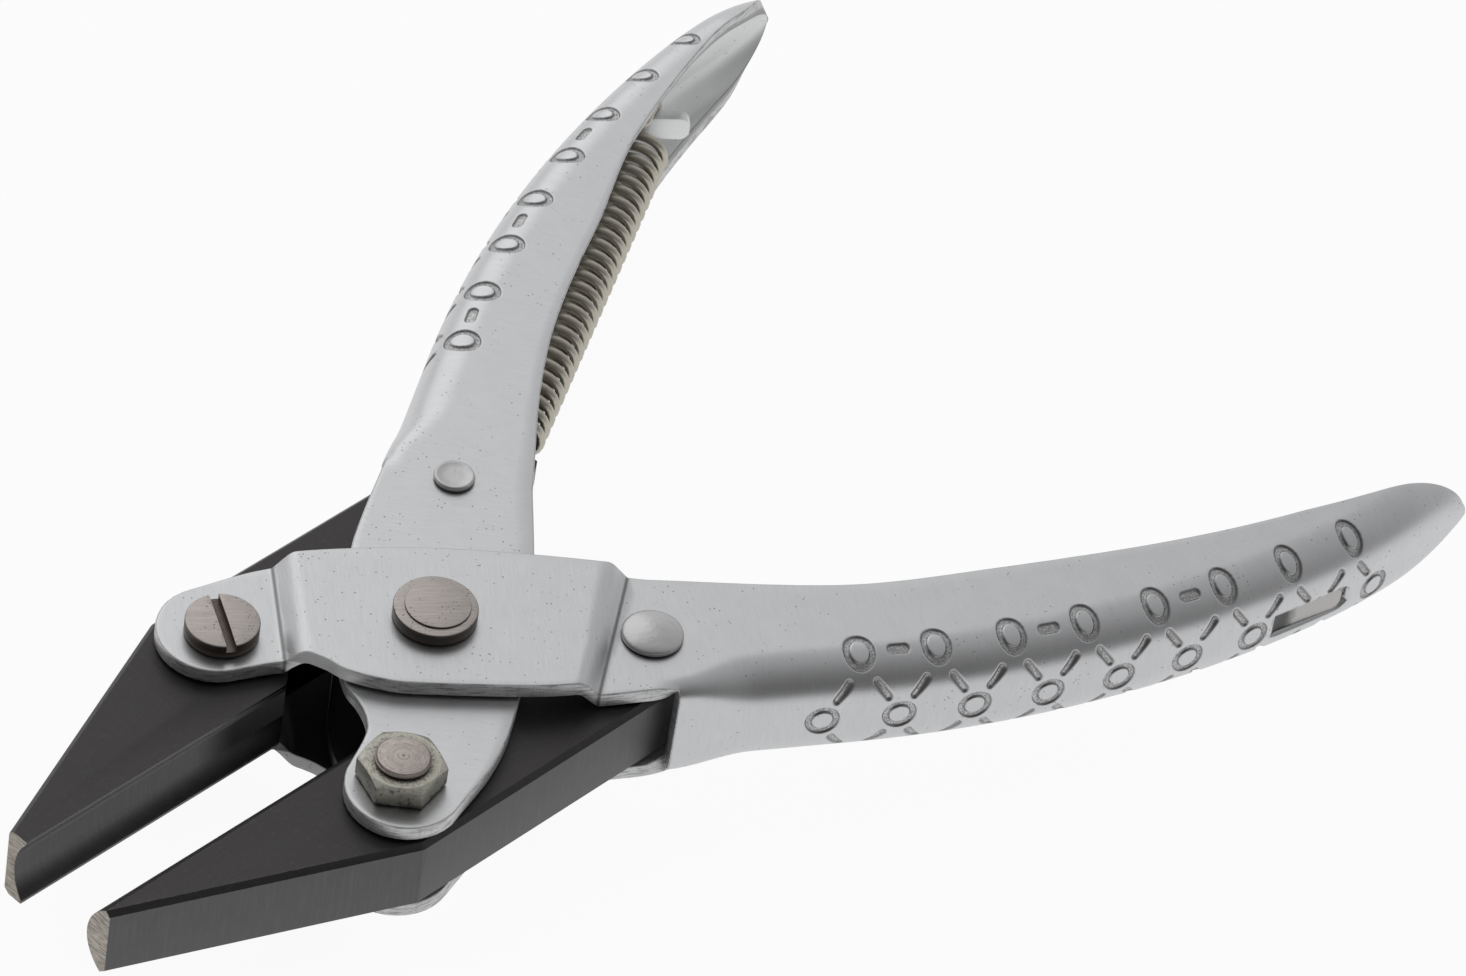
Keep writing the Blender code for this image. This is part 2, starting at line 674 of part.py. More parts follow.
def flipped(bm, up):
    """Turns a piece over about the jaw's length when it is fitted from below."""
    if not up:
        bmesh.ops.rotate(bm, verts=bm.verts, cent=(0, 0, 0), matrix=Matrix.Rotation(math.pi, 3, "Y"))
    return bm


def jaw_screw(name, up, place, parent):
    """Slotted screw; its far end is riveted over the nut."""
    head = CHEEK_TOP + SEAT_GAP
    top = head + SCREW_HEAD_HEIGHT
    nut_end = head + NUT_HEIGHT + SEAT_GAP
    soft = 0.2 * MM
    profile = [
        (0.0, top),
        (SCREW_HEAD_RADIUS - soft, top),
        (SCREW_HEAD_RADIUS, top - soft),
        (SCREW_HEAD_RADIUS, head),
        (SCREW_RADIUS, head),
        (SCREW_RADIUS, -nut_end),
        (SCREW_END_RADIUS, -nut_end),
        (SCREW_END_RADIUS - soft, -nut_end - SCREW_END_HEIGHT),
        (0.0, -nut_end - SCREW_END_HEIGHT),
    ]
    made = body(name, flipped(turned(profile), up), parent)
    made.location = place
    long = SCREW_HEAD_RADIUS + MM
    half = 0.5 * SLOT_WIDTH
    sides = [(-long, -half), (long, -half), (long, half), (-long, half)]
    slot = prism(sides, top - SLOT_DEPTH, top + MM)
    bmesh.ops.rotate(slot, verts=slot.verts, cent=(0, 0, 0), matrix=Matrix.Rotation(SLOT_ANGLE, 3, "Z"))
    slot = helper(name + "_slot", flipped(slot, up), parent)
    slot.location = place
    combine(made, slot)
    return made


def jaw_nut(name, up, place, parent):
    """Thin hexagon nut with its outer corners turned off, on the screw's far side."""
    low = CHEEK_TOP + SEAT_GAP
    high = low + NUT_HEIGHT
    corner = NUT_FLATS / math.sqrt(3.0)
    corners = [
        (corner * math.cos(NUT_ANGLE + math.pi * k / 3), corner * math.sin(NUT_ANGLE + math.pi * k / 3))
        for k in range(6)
    ]
    made = body(name, flipped(prism(corners, low, high), up), parent)
    made.location = place
    drop = corner - 0.5 * NUT_FLATS + 0.1 * MM
    wide = corner + MM
    cone = [
        (0.0, low - MM),
        (wide, low - MM),
        (wide, high - 0.6 * (drop + MM)),
        (0.5 * NUT_FLATS - 0.1 * MM, high),
        (0.5 * NUT_FLATS - 0.1 * MM, high + MM),
        (0.0, high + MM),
    ]
    crown = helper(name + "_crown", flipped(turned(cone, 36), up), parent)
    crown.location = place
    combine(made, crown, "INTERSECT")
    bore = rod(SCREW_RADIUS + PIN_GAP, low - MM, high + MM)
    bore = helper(name + "_bore", flipped(bore, up), parent)
    bore.location = place
    combine(made, bore)
    return made


def guide_rivet(name, up, place, parent):
    """Rivet with a low dome on one side and a riveted-over end on the other."""
    seat = CHEEK_TOP + SEAT_GAP
    dome = RIVET_DOME_HEIGHT
    radius = (RIVET_DOME_RADIUS**2 + dome**2) / (2 * dome)
    profile = [(0.0, seat + dome)]
    for step in range(1, 6):
        r = RIVET_DOME_RADIUS * step / 5
        height = seat + dome - radius + math.sqrt(radius**2 - r**2)
        profile.append((r, max(height, seat + 0.12 * MM)))
    profile += [
        (RIVET_DOME_RADIUS, seat),
        (RIVET_RADIUS, seat),
        (RIVET_RADIUS, -seat),
        (RIVET_END_RADIUS, -seat),
        (RIVET_END_RADIUS - 0.15 * MM, -seat - RIVET_END_HEIGHT),
        (0.0, -seat - RIVET_END_HEIGHT),
    ]
    made = body(name, flipped(turned(profile), up), parent)
    made.location = place
    return made


# Return spring in the left handle, drawn in the handle's own frame


def spring_path():
    """Wire centre line: hook in the jaw's tail, coils, hook behind the tab."""
    base, out, rear = tab_frame(-1)
    sag = HOOK_RADIUS - math.sqrt(HOOK_RADIUS**2 - (0.5 * TAB_WIDTH) ** 2)
    behind = 0.5 * SHEET + HOOK_GAP + 0.5 * WIRE + sag
    end = base + out * TAB_HOOK_AT + rear * behind
    cos, sin = math.cos(HALF_ANGLE), math.sin(HALF_ANGLE)
    x, y = -HOOK_HOLE[0], HOOK_HOLE[1]
    begin = Vector((x * cos + y * sin, -x * sin + y * cos))
    axis = (end - begin).normalized()
    begin = begin - axis * 0.2 * MM
    side = Vector((axis.y, -axis.x))
    total = (end - begin).length
    coil = 0.5 * (SPRING_OUTSIDE - WIRE)
    first, last = FRONT_HOOK, total - REAR_HOOK
    pitch = (last - first) / SPRING_COILS

    def spot(along, across, height):
        place = begin + axis * along + side * across
        return (place.x, place.y, height - TAB_DROP * along / total)

    def hook(tip, body_end):
        """From the free end round the hook to the top of the first coil."""
        way = 1.0 if body_end > tip else -1.0
        centre = tip + way * HOOK_RADIUS
        points = []
        for step in range(9):
            turn = math.radians(140) * (1 - step / 8)
            points.append(spot(centre - way * HOOK_RADIUS * math.sin(turn), 0.0, HOOK_RADIUS * math.cos(turn)))
        gap = abs(body_end - centre)
        points.append(spot(centre + way * 0.5 * gap, 0.0, 0.5 * (HOOK_RADIUS + coil)))
        points.append(spot(body_end - way * 0.15 * gap, 0.0, coil))
        return points

    turns = []
    steps = SPRING_COILS * POINTS_PER_COIL
    for step in range(1, steps):
        angle = 2 * math.pi * step / POINTS_PER_COIL
        along = first + pitch * step / POINTS_PER_COIL
        turns.append(spot(along, coil * math.sin(angle), coil * math.cos(angle)))
    path = hook(0.0, first) + turns + hook(total, last)[::-1]
    return path


def least_gap(path):
    """Least clear distance of the wire to its own next turn, measured on the path's points."""
    points = np.array(path)
    skip = POINTS_PER_COIL // 2 + 1
    nearest = 1.0
    for i in range(len(points) - skip):
        ahead = np.linalg.norm(points[i + skip :] - points[i], axis=1)
        nearest = min(nearest, float(ahead.min()))
    return nearest - WIRE


def return_spring(parent):
    path = spring_path()
    print("least gap of the spring to itself, mm:", round(least_gap(path) / MM, 3))
    curve = bpy.data.curves.new("return_spring", "CURVE")
    curve.dimensions = "3D"
    curve.bevel_depth = 0.5 * WIRE
    curve.bevel_resolution = 1
    curve.use_fill_caps = True
    line = curve.splines.new("POLY")
    line.points.add(len(path) - 1)
    for point, place in zip(line.points, path):
        point.co = (*place, 1.0)
    made = bpy.data.objects.new("return_spring", curve)
    made.parent = parent
    bpy.context.scene.collection.objects.link(made)
    return made


def main():
    clear_scene()
    middle = MID_HEIGHT
    left_grip = empty("left_handle_axis", (0.0, 0.0, middle), HALF_ANGLE)
    right_grip = empty("right_handle_axis", (0.0, 0.0, middle), -HALF_ANGLE)
    left_axis = empty("left_jaw_axis", (-SCREW_X, -SCREW_Y, middle))
    right_axis = empty("right_jaw_axis", (SCREW_X, -SCREW_Y, middle))
    pivot_axis = empty("pivot_axis", (0.0, 0.0, middle))

    left = jaw("left_jaw", -1, HOLLOW_LIP_X, HOLLOW_TIP_WIDTH, left_axis)
    hollow_face(left, left_axis)
    tail_tongue(left, left_axis)
    crown = ROUND_LIP_X - ROUND_CROWN - 0.2 * MM
    right = jaw("right_jaw", 1, crown, ROUND_LIP_X + ROUND_TIP_WIDTH - crown, right_axis)
    round_face(right, right_axis)

    left_shell = handle("left_handle", -1, False, left_grip)
    right_shell = handle("right_handle", 1, True, right_grip)

    pin = pivot_pin(pivot_axis)
    collar = pivot_collar(pivot_axis)
    front = (0.0, 0.0, 0.0)
    left_screw = jaw_screw("left_jaw_screw", True, front, left_axis)
    left_nut = jaw_nut("left_jaw_nut", False, front, left_axis)
    right_screw = jaw_screw("right_jaw_screw", False, front, right_axis)
    right_nut = jaw_nut("right_jaw_nut", True, front, right_axis)
    left_rivet = guide_rivet("left_handle_rivet", False, (-RIVET_X, RIVET_Y, 0.0), pivot_axis)
    right_rivet = guide_rivet("right_handle_rivet", True, (RIVET_X, RIVET_Y, 0.0), pivot_axis)
    spring = return_spring(left_grip)

    finishes = (
        (left, (0.05, 0.05, 0.05), 0.45),
        (right, (0.05, 0.05, 0.05), 0.45),
        (left_shell, (0.52, 0.52, 0.54), 0.38),
        (right_shell, (0.52, 0.52, 0.54), 0.38),
        (pin, (0.32, 0.28, 0.26), 0.4),
        (collar, (0.32, 0.28, 0.26), 0.4),
        (left_screw, (0.32, 0.28, 0.26), 0.4),
        (right_screw, (0.32, 0.28, 0.26), 0.4),
        (left_nut, (0.4, 0.38, 0.3), 0.4),
        (right_nut, (0.4, 0.38, 0.3), 0.4),
        (left_rivet, (0.45, 0.45, 0.46), 0.35),
        (right_rivet, (0.45, 0.45, 0.46), 0.35),
        (spring, (0.16, 0.14, 0.13), 0.4),
    )
    for made, colour, roughness in finishes:
        made.data.materials.append(material(made.name + "_steel", colour, roughness))
    print("closing angle of each handle, degrees:", round(math.degrees(CLOSING), 3))
    print("travel of each jaw, mm:", round(JAW_TRAVEL / MM, 3))


main()
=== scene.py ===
# %% [markdown]
# # Parallel-action forming pliers
# The pliers lie open on a pale table: two black jaws, one hollow and one half-round, between folded
# sheet-steel handles. The frame below is the measured CAD part. Every visible piece is built new around it,
# in the same place, so that the joints of the frame carry it. Lengths are in millimetres until a mesh is
# finished: MM makes them metres, and MID is the height of the tool's middle plane over the table.

import math

import bmesh
import bpy
import numpy as np
from mathutils import Matrix, Vector


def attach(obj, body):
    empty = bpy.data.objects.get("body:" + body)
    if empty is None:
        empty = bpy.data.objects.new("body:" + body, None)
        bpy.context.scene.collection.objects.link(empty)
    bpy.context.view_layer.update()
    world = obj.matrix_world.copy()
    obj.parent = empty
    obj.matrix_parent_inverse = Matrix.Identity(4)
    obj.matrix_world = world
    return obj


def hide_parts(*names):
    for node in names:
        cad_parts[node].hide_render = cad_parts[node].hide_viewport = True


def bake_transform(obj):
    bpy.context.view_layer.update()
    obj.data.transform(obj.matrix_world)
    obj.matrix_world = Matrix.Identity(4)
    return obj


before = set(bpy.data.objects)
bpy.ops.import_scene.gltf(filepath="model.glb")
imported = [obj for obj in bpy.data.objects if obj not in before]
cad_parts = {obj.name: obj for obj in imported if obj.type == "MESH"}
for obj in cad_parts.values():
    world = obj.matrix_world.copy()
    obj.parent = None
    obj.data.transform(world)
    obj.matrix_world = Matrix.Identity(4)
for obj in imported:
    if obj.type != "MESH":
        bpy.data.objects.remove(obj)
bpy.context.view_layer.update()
MM = 0.001
MID = 8.85
scene = bpy.context.scene
scene.view_settings.view_transform = "Standard"

# %% [markdown]
# ## Camera
# A product photograph of this kind is taken with a long lens from well away, so the sides of the tool stay
# almost parallel. The place and the roll of the camera were worked out from the pin centres.

# %% Camera
camera = bpy.data.objects.new("camera", bpy.data.cameras.new("camera"))
camera.data.sensor_width = 36.0
camera.data.lens = 205.889
camera.data.clip_start = 0.05
camera.data.clip_end = 5.0
camera.data.dof.use_dof = False
image_right = Vector((0.705839, 0.697673, 0.122649))
image_up = Vector((-0.549810, 0.430398, 0.715868))
towards_camera = image_right.cross(image_up)
turn = Matrix((image_right, image_up, towards_camera)).transposed().to_4x4()
stand = Vector((345.314, -403.405, 539.885)) * MM
camera.matrix_world = Matrix.Translation(stand) @ turn
scene.collection.objects.link(camera)
scene.camera = camera
print("camera lens", camera.data.lens, "mm")

# %% [markdown]
# ## Shader sums
# A finish is a sum of small patterns. Written as plain arithmetic it stays readable, so one small class
# wraps a socket and lets Python's own signs build the Math nodes. Any other node comes from `node`. A
# second class holds one finish: its material, its coordinates in millimetres and its shader.


# %% Shader sums
class Wire:
    """One output socket of a material that can take part in sums."""

    def __init__(self, tree, socket=None):
        self.tree = tree
        self.socket = socket

    def node(self, kind, settings=None, inputs=None, out=0):
        made = self.tree.nodes.new(kind)
        for key, value in (settings or {}).items():
            if key == "stops":
                ramp = made.color_ramp.elements
                while len(ramp) < len(value):
                    ramp.new(0.5)
                for stop, (place, level) in zip(ramp, value):
                    stop.position = place
                    stop.color = (level, level, level, 1.0)
            else:
                setattr(made, key, value)
        for key, value in (inputs or {}).items():
            if isinstance(value, Wire):
                self.tree.links.new(value.socket, made.inputs[key])
            else:
                made.inputs[key].default_value = value
        return Wire(self.tree, made.outputs[out])

    def sum(self, operation, *values):
        inputs = dict(enumerate(values))
        return self.node("ShaderNodeMath", {"operation": operation}, inputs)

    def __add__(self, other):
        return self.sum("ADD", self, other)

    def __radd__(self, other):
        return self.sum("ADD", other, self)

    def __sub__(self, other):
        return self.sum("SUBTRACT", self, other)

    def __rsub__(self, other):
        return self.sum("SUBTRACT", other, self)

    def __mul__(self, other):
        return self.sum("MULTIPLY", self, other)

    def __rmul__(self, other):
        return self.sum("MULTIPLY", other, self)

    def ramp(self, low, high, start=0.0, end=1.0):
        """A soft step: start below low, end above high."""
        limits = {"From Min": low, "From Max": high, "To Min": start, "To Max": end}
        return self.node("ShaderNodeMapRange", {"interpolation_type": "SMOOTHSTEP"}, {0: self} | limits)

    def mix(self, one, two):
        """Colour one where this is 0, colour two where it is 1."""
        pair = [c if isinstance(c, Wire) else (*c, 1.0) for c in (one, two)]
        return self.node(
            "ShaderNodeMix", {"data_type": "RGBA"}, {0: self, 6: pair[0], 7: pair[1]}, out=2
        )

    def stretched(self, scale, turned=(0.0, 0.0, 0.0)):
        return self.node("ShaderNodeMapping", None, {0: self, "Scale": scale, "Rotation": turned})

    def noise(self, scale, detail=3.0, rough=0.55):
        values = {"Vector": self, "Scale": scale, "Detail": detail, "Roughness": rough}
        return self.node("ShaderNodeTexNoise", None, values)

    def spots(self, scale, feature="F1"):
        return self.node("ShaderNodeTexVoronoi", {"feature": feature}, {"Vector": self, "Scale": scale})

    def axis(self, index):
        return self.node("ShaderNodeSeparateXYZ", None, {0: self}, out=index)

    def away(self):
        """A number without its sign, or the length of a vector."""
        if self.socket.type == "VECTOR":
            return self.node("ShaderNodeVectorMath", {"operation": "LENGTH"}, {0: self}, out=1)
        return self.sum("ABSOLUTE", self)


class Finish:
    """A metal finish under way: its material, its coordinates and its shader."""

    def __init__(self, name, metallic=1.0):
        self.material = bpy.data.materials.new(name)
        self.material.use_nodes = True
        self.tree = self.material.node_tree
        self.shader = self.tree.nodes["Principled BSDF"]
        self.shader.inputs["Metallic"].default_value = metallic
        self.wire = Wire(self.tree)
        self.place = self.wire.node("ShaderNodeTexCoord", out=3).stretched((1000.0, 1000.0, 1000.0))

    def attribute(self, name, out):
        return self.wire.node("ShaderNodeAttribute", {"attribute_name": name}, out=out)

    def level(self):
        """1 on level faces and 0 on upright ones."""
        return self.wire.node("ShaderNodeNewGeometry", out=1).axis(2).away()

    def set(self, **sockets):
        for key, value in sockets.items():
            socket = self.shader.inputs[key.replace("_", " ")]
            if isinstance(value, Wire):
                self.tree.links.new(value.socket, socket)
            else:
                socket.default_value = value
        return self

    def bump(self, height, depth):
        """Relief of that depth in millimetres."""
        values = {"Strength": 1.0, "Distance": depth * MM, "Height": height}
        return self.set(Normal=self.wire.node("ShaderNodeBump", None, values))


print("shader sums ready")

# %% [markdown]
# ## Table, sky and lamp
# Bright metal is mostly a picture of the room. Here the table is white, a broad soft light stands behind
# the tool, and the room on the camera's side is dark: that side is the dark band along the round edge of
# the handles. The sky is therefore a gradient from front to back, and the table's glow fades far away.

# %% Table
TABLE_HALF = 0.6
GLOW, FAR_GLOW, GLOW_NEAR, GLOW_FAR = 0.94, 0.35, 105.0, 260.0
bm = bmesh.new()
bmesh.ops.create_grid(bm, x_segments=1, y_segments=1, size=TABLE_HALF)
table_mesh = bpy.data.meshes.new("table")
bm.to_mesh(table_mesh)
bm.free()
table = bpy.data.objects.new("table", table_mesh)
scene.collection.objects.link(table)
paper = Finish("table_paper", metallic=0.0)
grain = paper.place.noise(0.6, 2.0)
paper.set(Base_Color=grain.mix((0.90, 0.90, 0.90), (0.93, 0.93, 0.93)), Roughness=0.8)
seen = paper.wire.node("ShaderNodeLightPath", out=0)
mirrored = seen.node("ShaderNodeLightPath", out=3)
mirrored = mirrored * paper.place.away().ramp(GLOW_NEAR, GLOW_FAR, 1.0, FAR_GLOW)
seen = seen.sum("MAXIMUM", seen, mirrored) * GLOW
glow = seen.node("ShaderNodeEmission", None, {"Strength": 1.0})
lit = Wire(paper.tree, paper.shader.outputs[0])
both = seen.node("ShaderNodeMixShader", None, {0: seen, 1: lit, 2: glow})
paper.tree.links.new(both.socket, paper.tree.nodes["Material Output"].inputs["Surface"])
table.data.materials.append(paper.material)
print("table of", 2 * TABLE_HALF, "m")

# %% [markdown]
# The sky is a world colour by direction. A picture of a room could do the same, but seven grey levels along
# one line are enough for the long reflections of a folded handle. One soft box at the left lights the
# marks.

# %% Sky and lamp
BACK_X, BACK_Y = -0.615, 0.788
sky = bpy.data.worlds.new("soft_room")
sky.use_nodes = True
scene.world = sky
ground = sky.node_tree.nodes["Background"]
look = Wire(sky.node_tree).node("ShaderNodeTexCoord", out=0)
backwards = look.axis(0) * BACK_X + look.axis(1) * BACK_Y
SKY_STOPS = [
    (0.0, 0.12), (0.15, 0.17), (0.33, 0.30), (0.5, 0.47), (0.7, 0.55), (0.86, 0.62), (1.0, 0.85)
]
room = look.node("ShaderNodeValToRGB", {"stops": SKY_STOPS}, {0: backwards * 0.5 + 0.5})
sky.node_tree.links.new(room.socket, ground.inputs["Color"])
ground.inputs["Strength"].default_value = 1.0


def soft_lamp(name, place, aim, size, power):
    """A square soft box that looks from place to aim, both in metres."""
    light = bpy.data.lights.new(name, "AREA")
    light.shape = "SQUARE"
    light.size = size
    light.energy = power
    made = bpy.data.objects.new(name, light)
    made.location = place
    made.rotation_euler = (Vector(aim) - Vector(place)).to_track_quat("-Z", "Y").to_euler()
    scene.collection.objects.link(made)
    return made


soft_lamp("side_box", (-0.62, 0.12, 0.50), (0.0, 0.0, 0.0), 0.9, 1.4)
print("sky stops", SKY_STOPS)

# %% [markdown]
# ## Plated sheet
# The handles are folded from steel sheet and then plated. The plating is satin: fine polishing lines run
# round the section, tiny dark pits show where the plating is thin, and grime sits in the stamped marks, with
# painted shade on their slopes, in the joggle's crease and under the rims. It could be painted on a flat
# picture, but masks follow every fold by themselves. The mesh carries the place on the unfolded sheet, the
# stamping, the kind of edge and the fold as attributes, and noise does the rest.

# %% Patterns on the sheet
FOLD_ZERO = 10.0
sheet_finish = Finish("satin_plating")
spot = sheet_finish.place
unfolded = sheet_finish.attribute("sheet", 1)
pressed = sheet_finish.attribute("stamp", 2)
edge_kind = sheet_finish.attribute("cut", 2)
cut_edge = edge_kind.ramp(0.55, 0.95)
# A painted shadow line under the rims, on the inner half of their cut edge.
rim_shadow_line = edge_kind * (1.0 - edge_kind) * 4.0
# Painted shade along the joggle's crease.
crease = 1.0 - (sheet_finish.attribute("fold", 2) - FOLD_ZERO).away().ramp(0.04, 0.26)
cloud = spot.noise(0.35, 4.0)
lines = unfolded.stretched((9.0, 0.35, 1.0)).noise(1.0, 3.0, 0.6)
sheared = unfolded.stretched((4.0, 4.0, 1.0)).noise(1.0, 4.0, 0.7)
grit = spot.noise(6.0, 3.0, 0.7).ramp(0.42, 0.56)
rolled = spot.stretched((0.5, 0.5, 5.0)).noise(1.0, 4.0, 0.7)
outside = sheet_finish.attribute("outside", 2)
# The inside is duller, and its colour is painted lighter as painted light.
dull_and_painted_light = 1.0 - outside.sum("MAXIMUM", outside, cut_edge)
by_pivot = 1.0 - spot.stretched((1.0, 1.0, 0.0)).away().ramp(13.0, 19.0)
pits = 1.0 - spot.spots(1.7).ramp(0.07, 0.17)
pits = pits * (spot.noise(0.45, 3.0) + by_pivot * 0.05).ramp(0.47, 0.60)
print("patterns of", sheet_finish.material.name, "ready")

# %% [markdown]
# Two painted marks belong to one place each. The inner faces between the cheeks near the pivot are painted
# black as painted shade, but not the lowest cut edge. The raised cheek's cut edge left of the pivot is
# painted bright, as a painted highlight.

# %% Painted cavity shade and edge highlight
low_down = 1.0 - spot.axis(2).ramp(MID, MID + 2.0)
lowest = spot.axis(2).ramp(2.9, 3.3, 1.0, 0.0)
# Painted shade between the cheeks near the pivot.
cavity_shade = low_down * by_pivot * (1.0 - outside) * (1.0 - cut_edge * lowest)
left_front = spot.axis(0).ramp(-0.5, 1.5, 1.0, 0.0) * spot.axis(1).ramp(-5.0, -3.0, 1.0, 0.0)
raised = (spot.axis(2) - MID).away().ramp(5.6, 5.85)
# Painted highlight on the raised cheek's cut edge left of the pivot, where it faces the light.
lit_edge_highlight = cut_edge * raised * left_front
print("grease below", MID + 2.0, "mm")

# %% [markdown]
# The tone starts as clean plating, and each line lays one mark over it: polishing lines, grime in the marks,
# painted shade on their slopes, the dull inside painted lighter as painted light, the cut edges, a painted
# highlight on one cut edge, a painted shadow line under the rims, painted shade in the joggle's crease, the
# pits and painted shade between the cheeks near the pivot.

# %% Tone of the sheet
# GRIME_AND_SHADE is grime in the marks and painted shade on their slopes and under the rims;
# DEEP_GRIME_AND_SHADE is the pits and painted shade in the joggle's crease.
GRIME_AND_SHADE, DEEP_GRIME_AND_SHADE = (0.16, 0.155, 0.15), (0.10, 0.095, 0.09)
tone = cloud.mix((0.56, 0.565, 0.575), (0.64, 0.645, 0.655))
tone = (lines.ramp(0.3, 0.7) * 0.35).mix(tone, (0.50, 0.505, 0.515))
tone = (pressed * (0.08 + grit * 0.45)).mix(tone, GRIME_AND_SHADE)
# Painted shade on the slopes of the stamped marks.
tone = (pressed * (1.0 - pressed) * 3.0).mix(tone, GRIME_AND_SHADE)
# Painted light: the inside is painted lighter than the outside.
tone = dull_and_painted_light.mix(tone, cloud.mix((0.70, 0.71, 0.71), (0.80, 0.81, 0.81)))
tone = (cut_edge * 0.7).mix(tone, (0.74, 0.745, 0.75))
tone = (cut_edge * rolled.ramp(0.46, 0.64) * (0.75 - lit_edge_highlight * 0.55)).mix(tone, (0.26, 0.25, 0.245))
tone = (cut_edge * sheared.ramp(0.52, 0.76) * 0.3).mix(tone, (0.20, 0.195, 0.19))
# Painted highlight on that cut edge.
tone = (lit_edge_highlight * 0.6).mix(tone, (0.90, 0.905, 0.905))
# Painted shadow under the rims.
tone = (rim_shadow_line * 0.65).mix(tone, GRIME_AND_SHADE)
# Painted shade in the joggle's crease.
tone = (crease * 0.75).mix(tone, DEEP_GRIME_AND_SHADE)
tone = (pits * 0.65).mix(tone, DEEP_GRIME_AND_SHADE)
# Painted shade: the inner faces near the pivot are painted black.
tone = (cavity_shade * 0.92).mix(tone, (0.012, 0.012, 0.012))
worn_rough = pits * 0.2 + dull_and_painted_light * 0.18 + cut_edge * 0.12 + pressed * grit * 0.15
sheet_finish.set(
    Base_Color=tone,
    Metallic=1.0 - cut_edge * 0.3 - lit_edge_highlight * 0.6,
    Roughness=0.28 + lines * 0.10 + cloud * 0.06 + worn_rough,
)
sheet_finish.bump(lines * 0.35 + rolled * cut_edge * 1.4 + pits * -1.0, 0.012)
print("finish", sheet_finish.material.name)

# %% [markdown]
# ## Lines of a folded handle
# Each handle is one blank of 1.5 mm sheet, folded to a channel for the hand and left as two flat cheeks in
# front. The back of the channel runs straight, then in a long bow, then in a tighter nose. These few
# numbers are those of the CAD part, in millimetres, with side -1 for the left handle. The mouth stands a
# hair further in, because the fine facets of the bow reach out past the coarser ones of the CAD part.

# %% Lines of a folded handle
SHEET = 1.5
CHEEK_TOP = 5.6
SOFT_EDGE = 0.13
SCREW = Vector((11.53, 15.0))
RIVET = Vector((12.81, 15.0))
HALF_ANGLE = math.atan2(SCREW.x, SCREW.y)
RIVET_LEAN = math.atan2(RIVET.x, RIVET.y) - HALF_ANGLE
RIVET_U = RIVET.length * math.cos(RIVET_LEAN)
RIVET_V = RIVET.length * math.sin(RIVET_LEAN)
CHORD = 0.006
STRAIGHT_RUN = 17.0
MOUTH_DEPTH = 14.1
MOUTH = Vector((RIVET_V + 6.8 - CHORD, RIVET_U + 1.75))
SLOPE = math.radians(6.0)
BOW = (124.0, math.radians(23.1))
NOSE = {-1: (67.0, math.radians(13.4)), 1: (67.0, math.radians(15.4))}
NOSE_LENGTH = 9.5
LENGTH = {side: STRAIGHT_RUN + BOW[0] * BOW[1] + NOSE[side][0] * NOSE[side][1] for side in NOSE}
DEPTH_AT = (0.0, 0.2, 0.5, 0.8, 0.9, 1.0)
DEPTHS = {
    -1: (MOUTH_DEPTH, 11.1, 9.15, 5.75, 4.2, 1.6),
    1: (MOUTH_DEPTH, 11.4, 9.4, 5.6, 4.1, 1.7),
}


def smooth_line(points, steps=6):
    """A smooth line through the points."""
    points = [np.array(point, float) for point in points]
    ends = [2 * points[0] - points[1]] + points + [2 * points[-1] - points[-2]]
    line = []
    for a, b, c, d in zip(ends, ends[1:], ends[2:], ends[3:]):
        for step in range(steps):
            t = step / steps
            bend = (2 * a - 5 * b + 4 * c - d) * t**2 + (3 * b - a - 3 * c + d) * t**3
            line.append(0.5 * (2 * b + (c - a) * t + bend))
    return np.array(line + [points[-1]])


DEPTH_LINE = {side: smooth_line(list(zip(DEPTH_AT, DEPTHS[side]))) for side in DEPTHS}


def back_line(run, side):
    """The channel's back: place, rearward and inward direction as (across, along)."""
    straight = min(run, STRAIGHT_RUN)
    heading = SLOPE
    place = MOUTH + Vector((-math.sin(heading), math.cos(heading))) * straight
    left = run - straight
    for radius, most in (BOW, NOSE[side]):
        bend = min(left / radius, most)
        place = place + radius * Vector((
            math.cos(heading + bend) - math.cos(heading),
            math.sin(heading + bend) - math.sin(heading),
        ))
        heading += bend
        left -= radius * bend
    along = Vector((-math.sin(heading), math.cos(heading)))
    return place, along, Vector((-math.cos(heading), -math.sin(heading)))


print("channel lengths in mm:", {side: round(long, 2) for side, long in LENGTH.items()})

# %% [markdown]
# ## Section of the channel
# Cut across, the channel is a flat back, two round corners and two cheeks. The corners open out over the
# first few millimetres behind the mouth, and the whole section closes to a flat nose at the end. One class
# answers where a place on the section lies, which way the sheet faces there, and where it lay on the flat
# blank.

# %% Section of the channel
CORNER_AT_MOUTH, CORNER_GROWTH, GROWTH_RUN = 1.7, 2.4, 8.0
NOSE_ROUND, NOSE_BLUNT, NOSE_CUT, LEAST_DEPTH = 2.2, 0.03, 1.35, 0.3


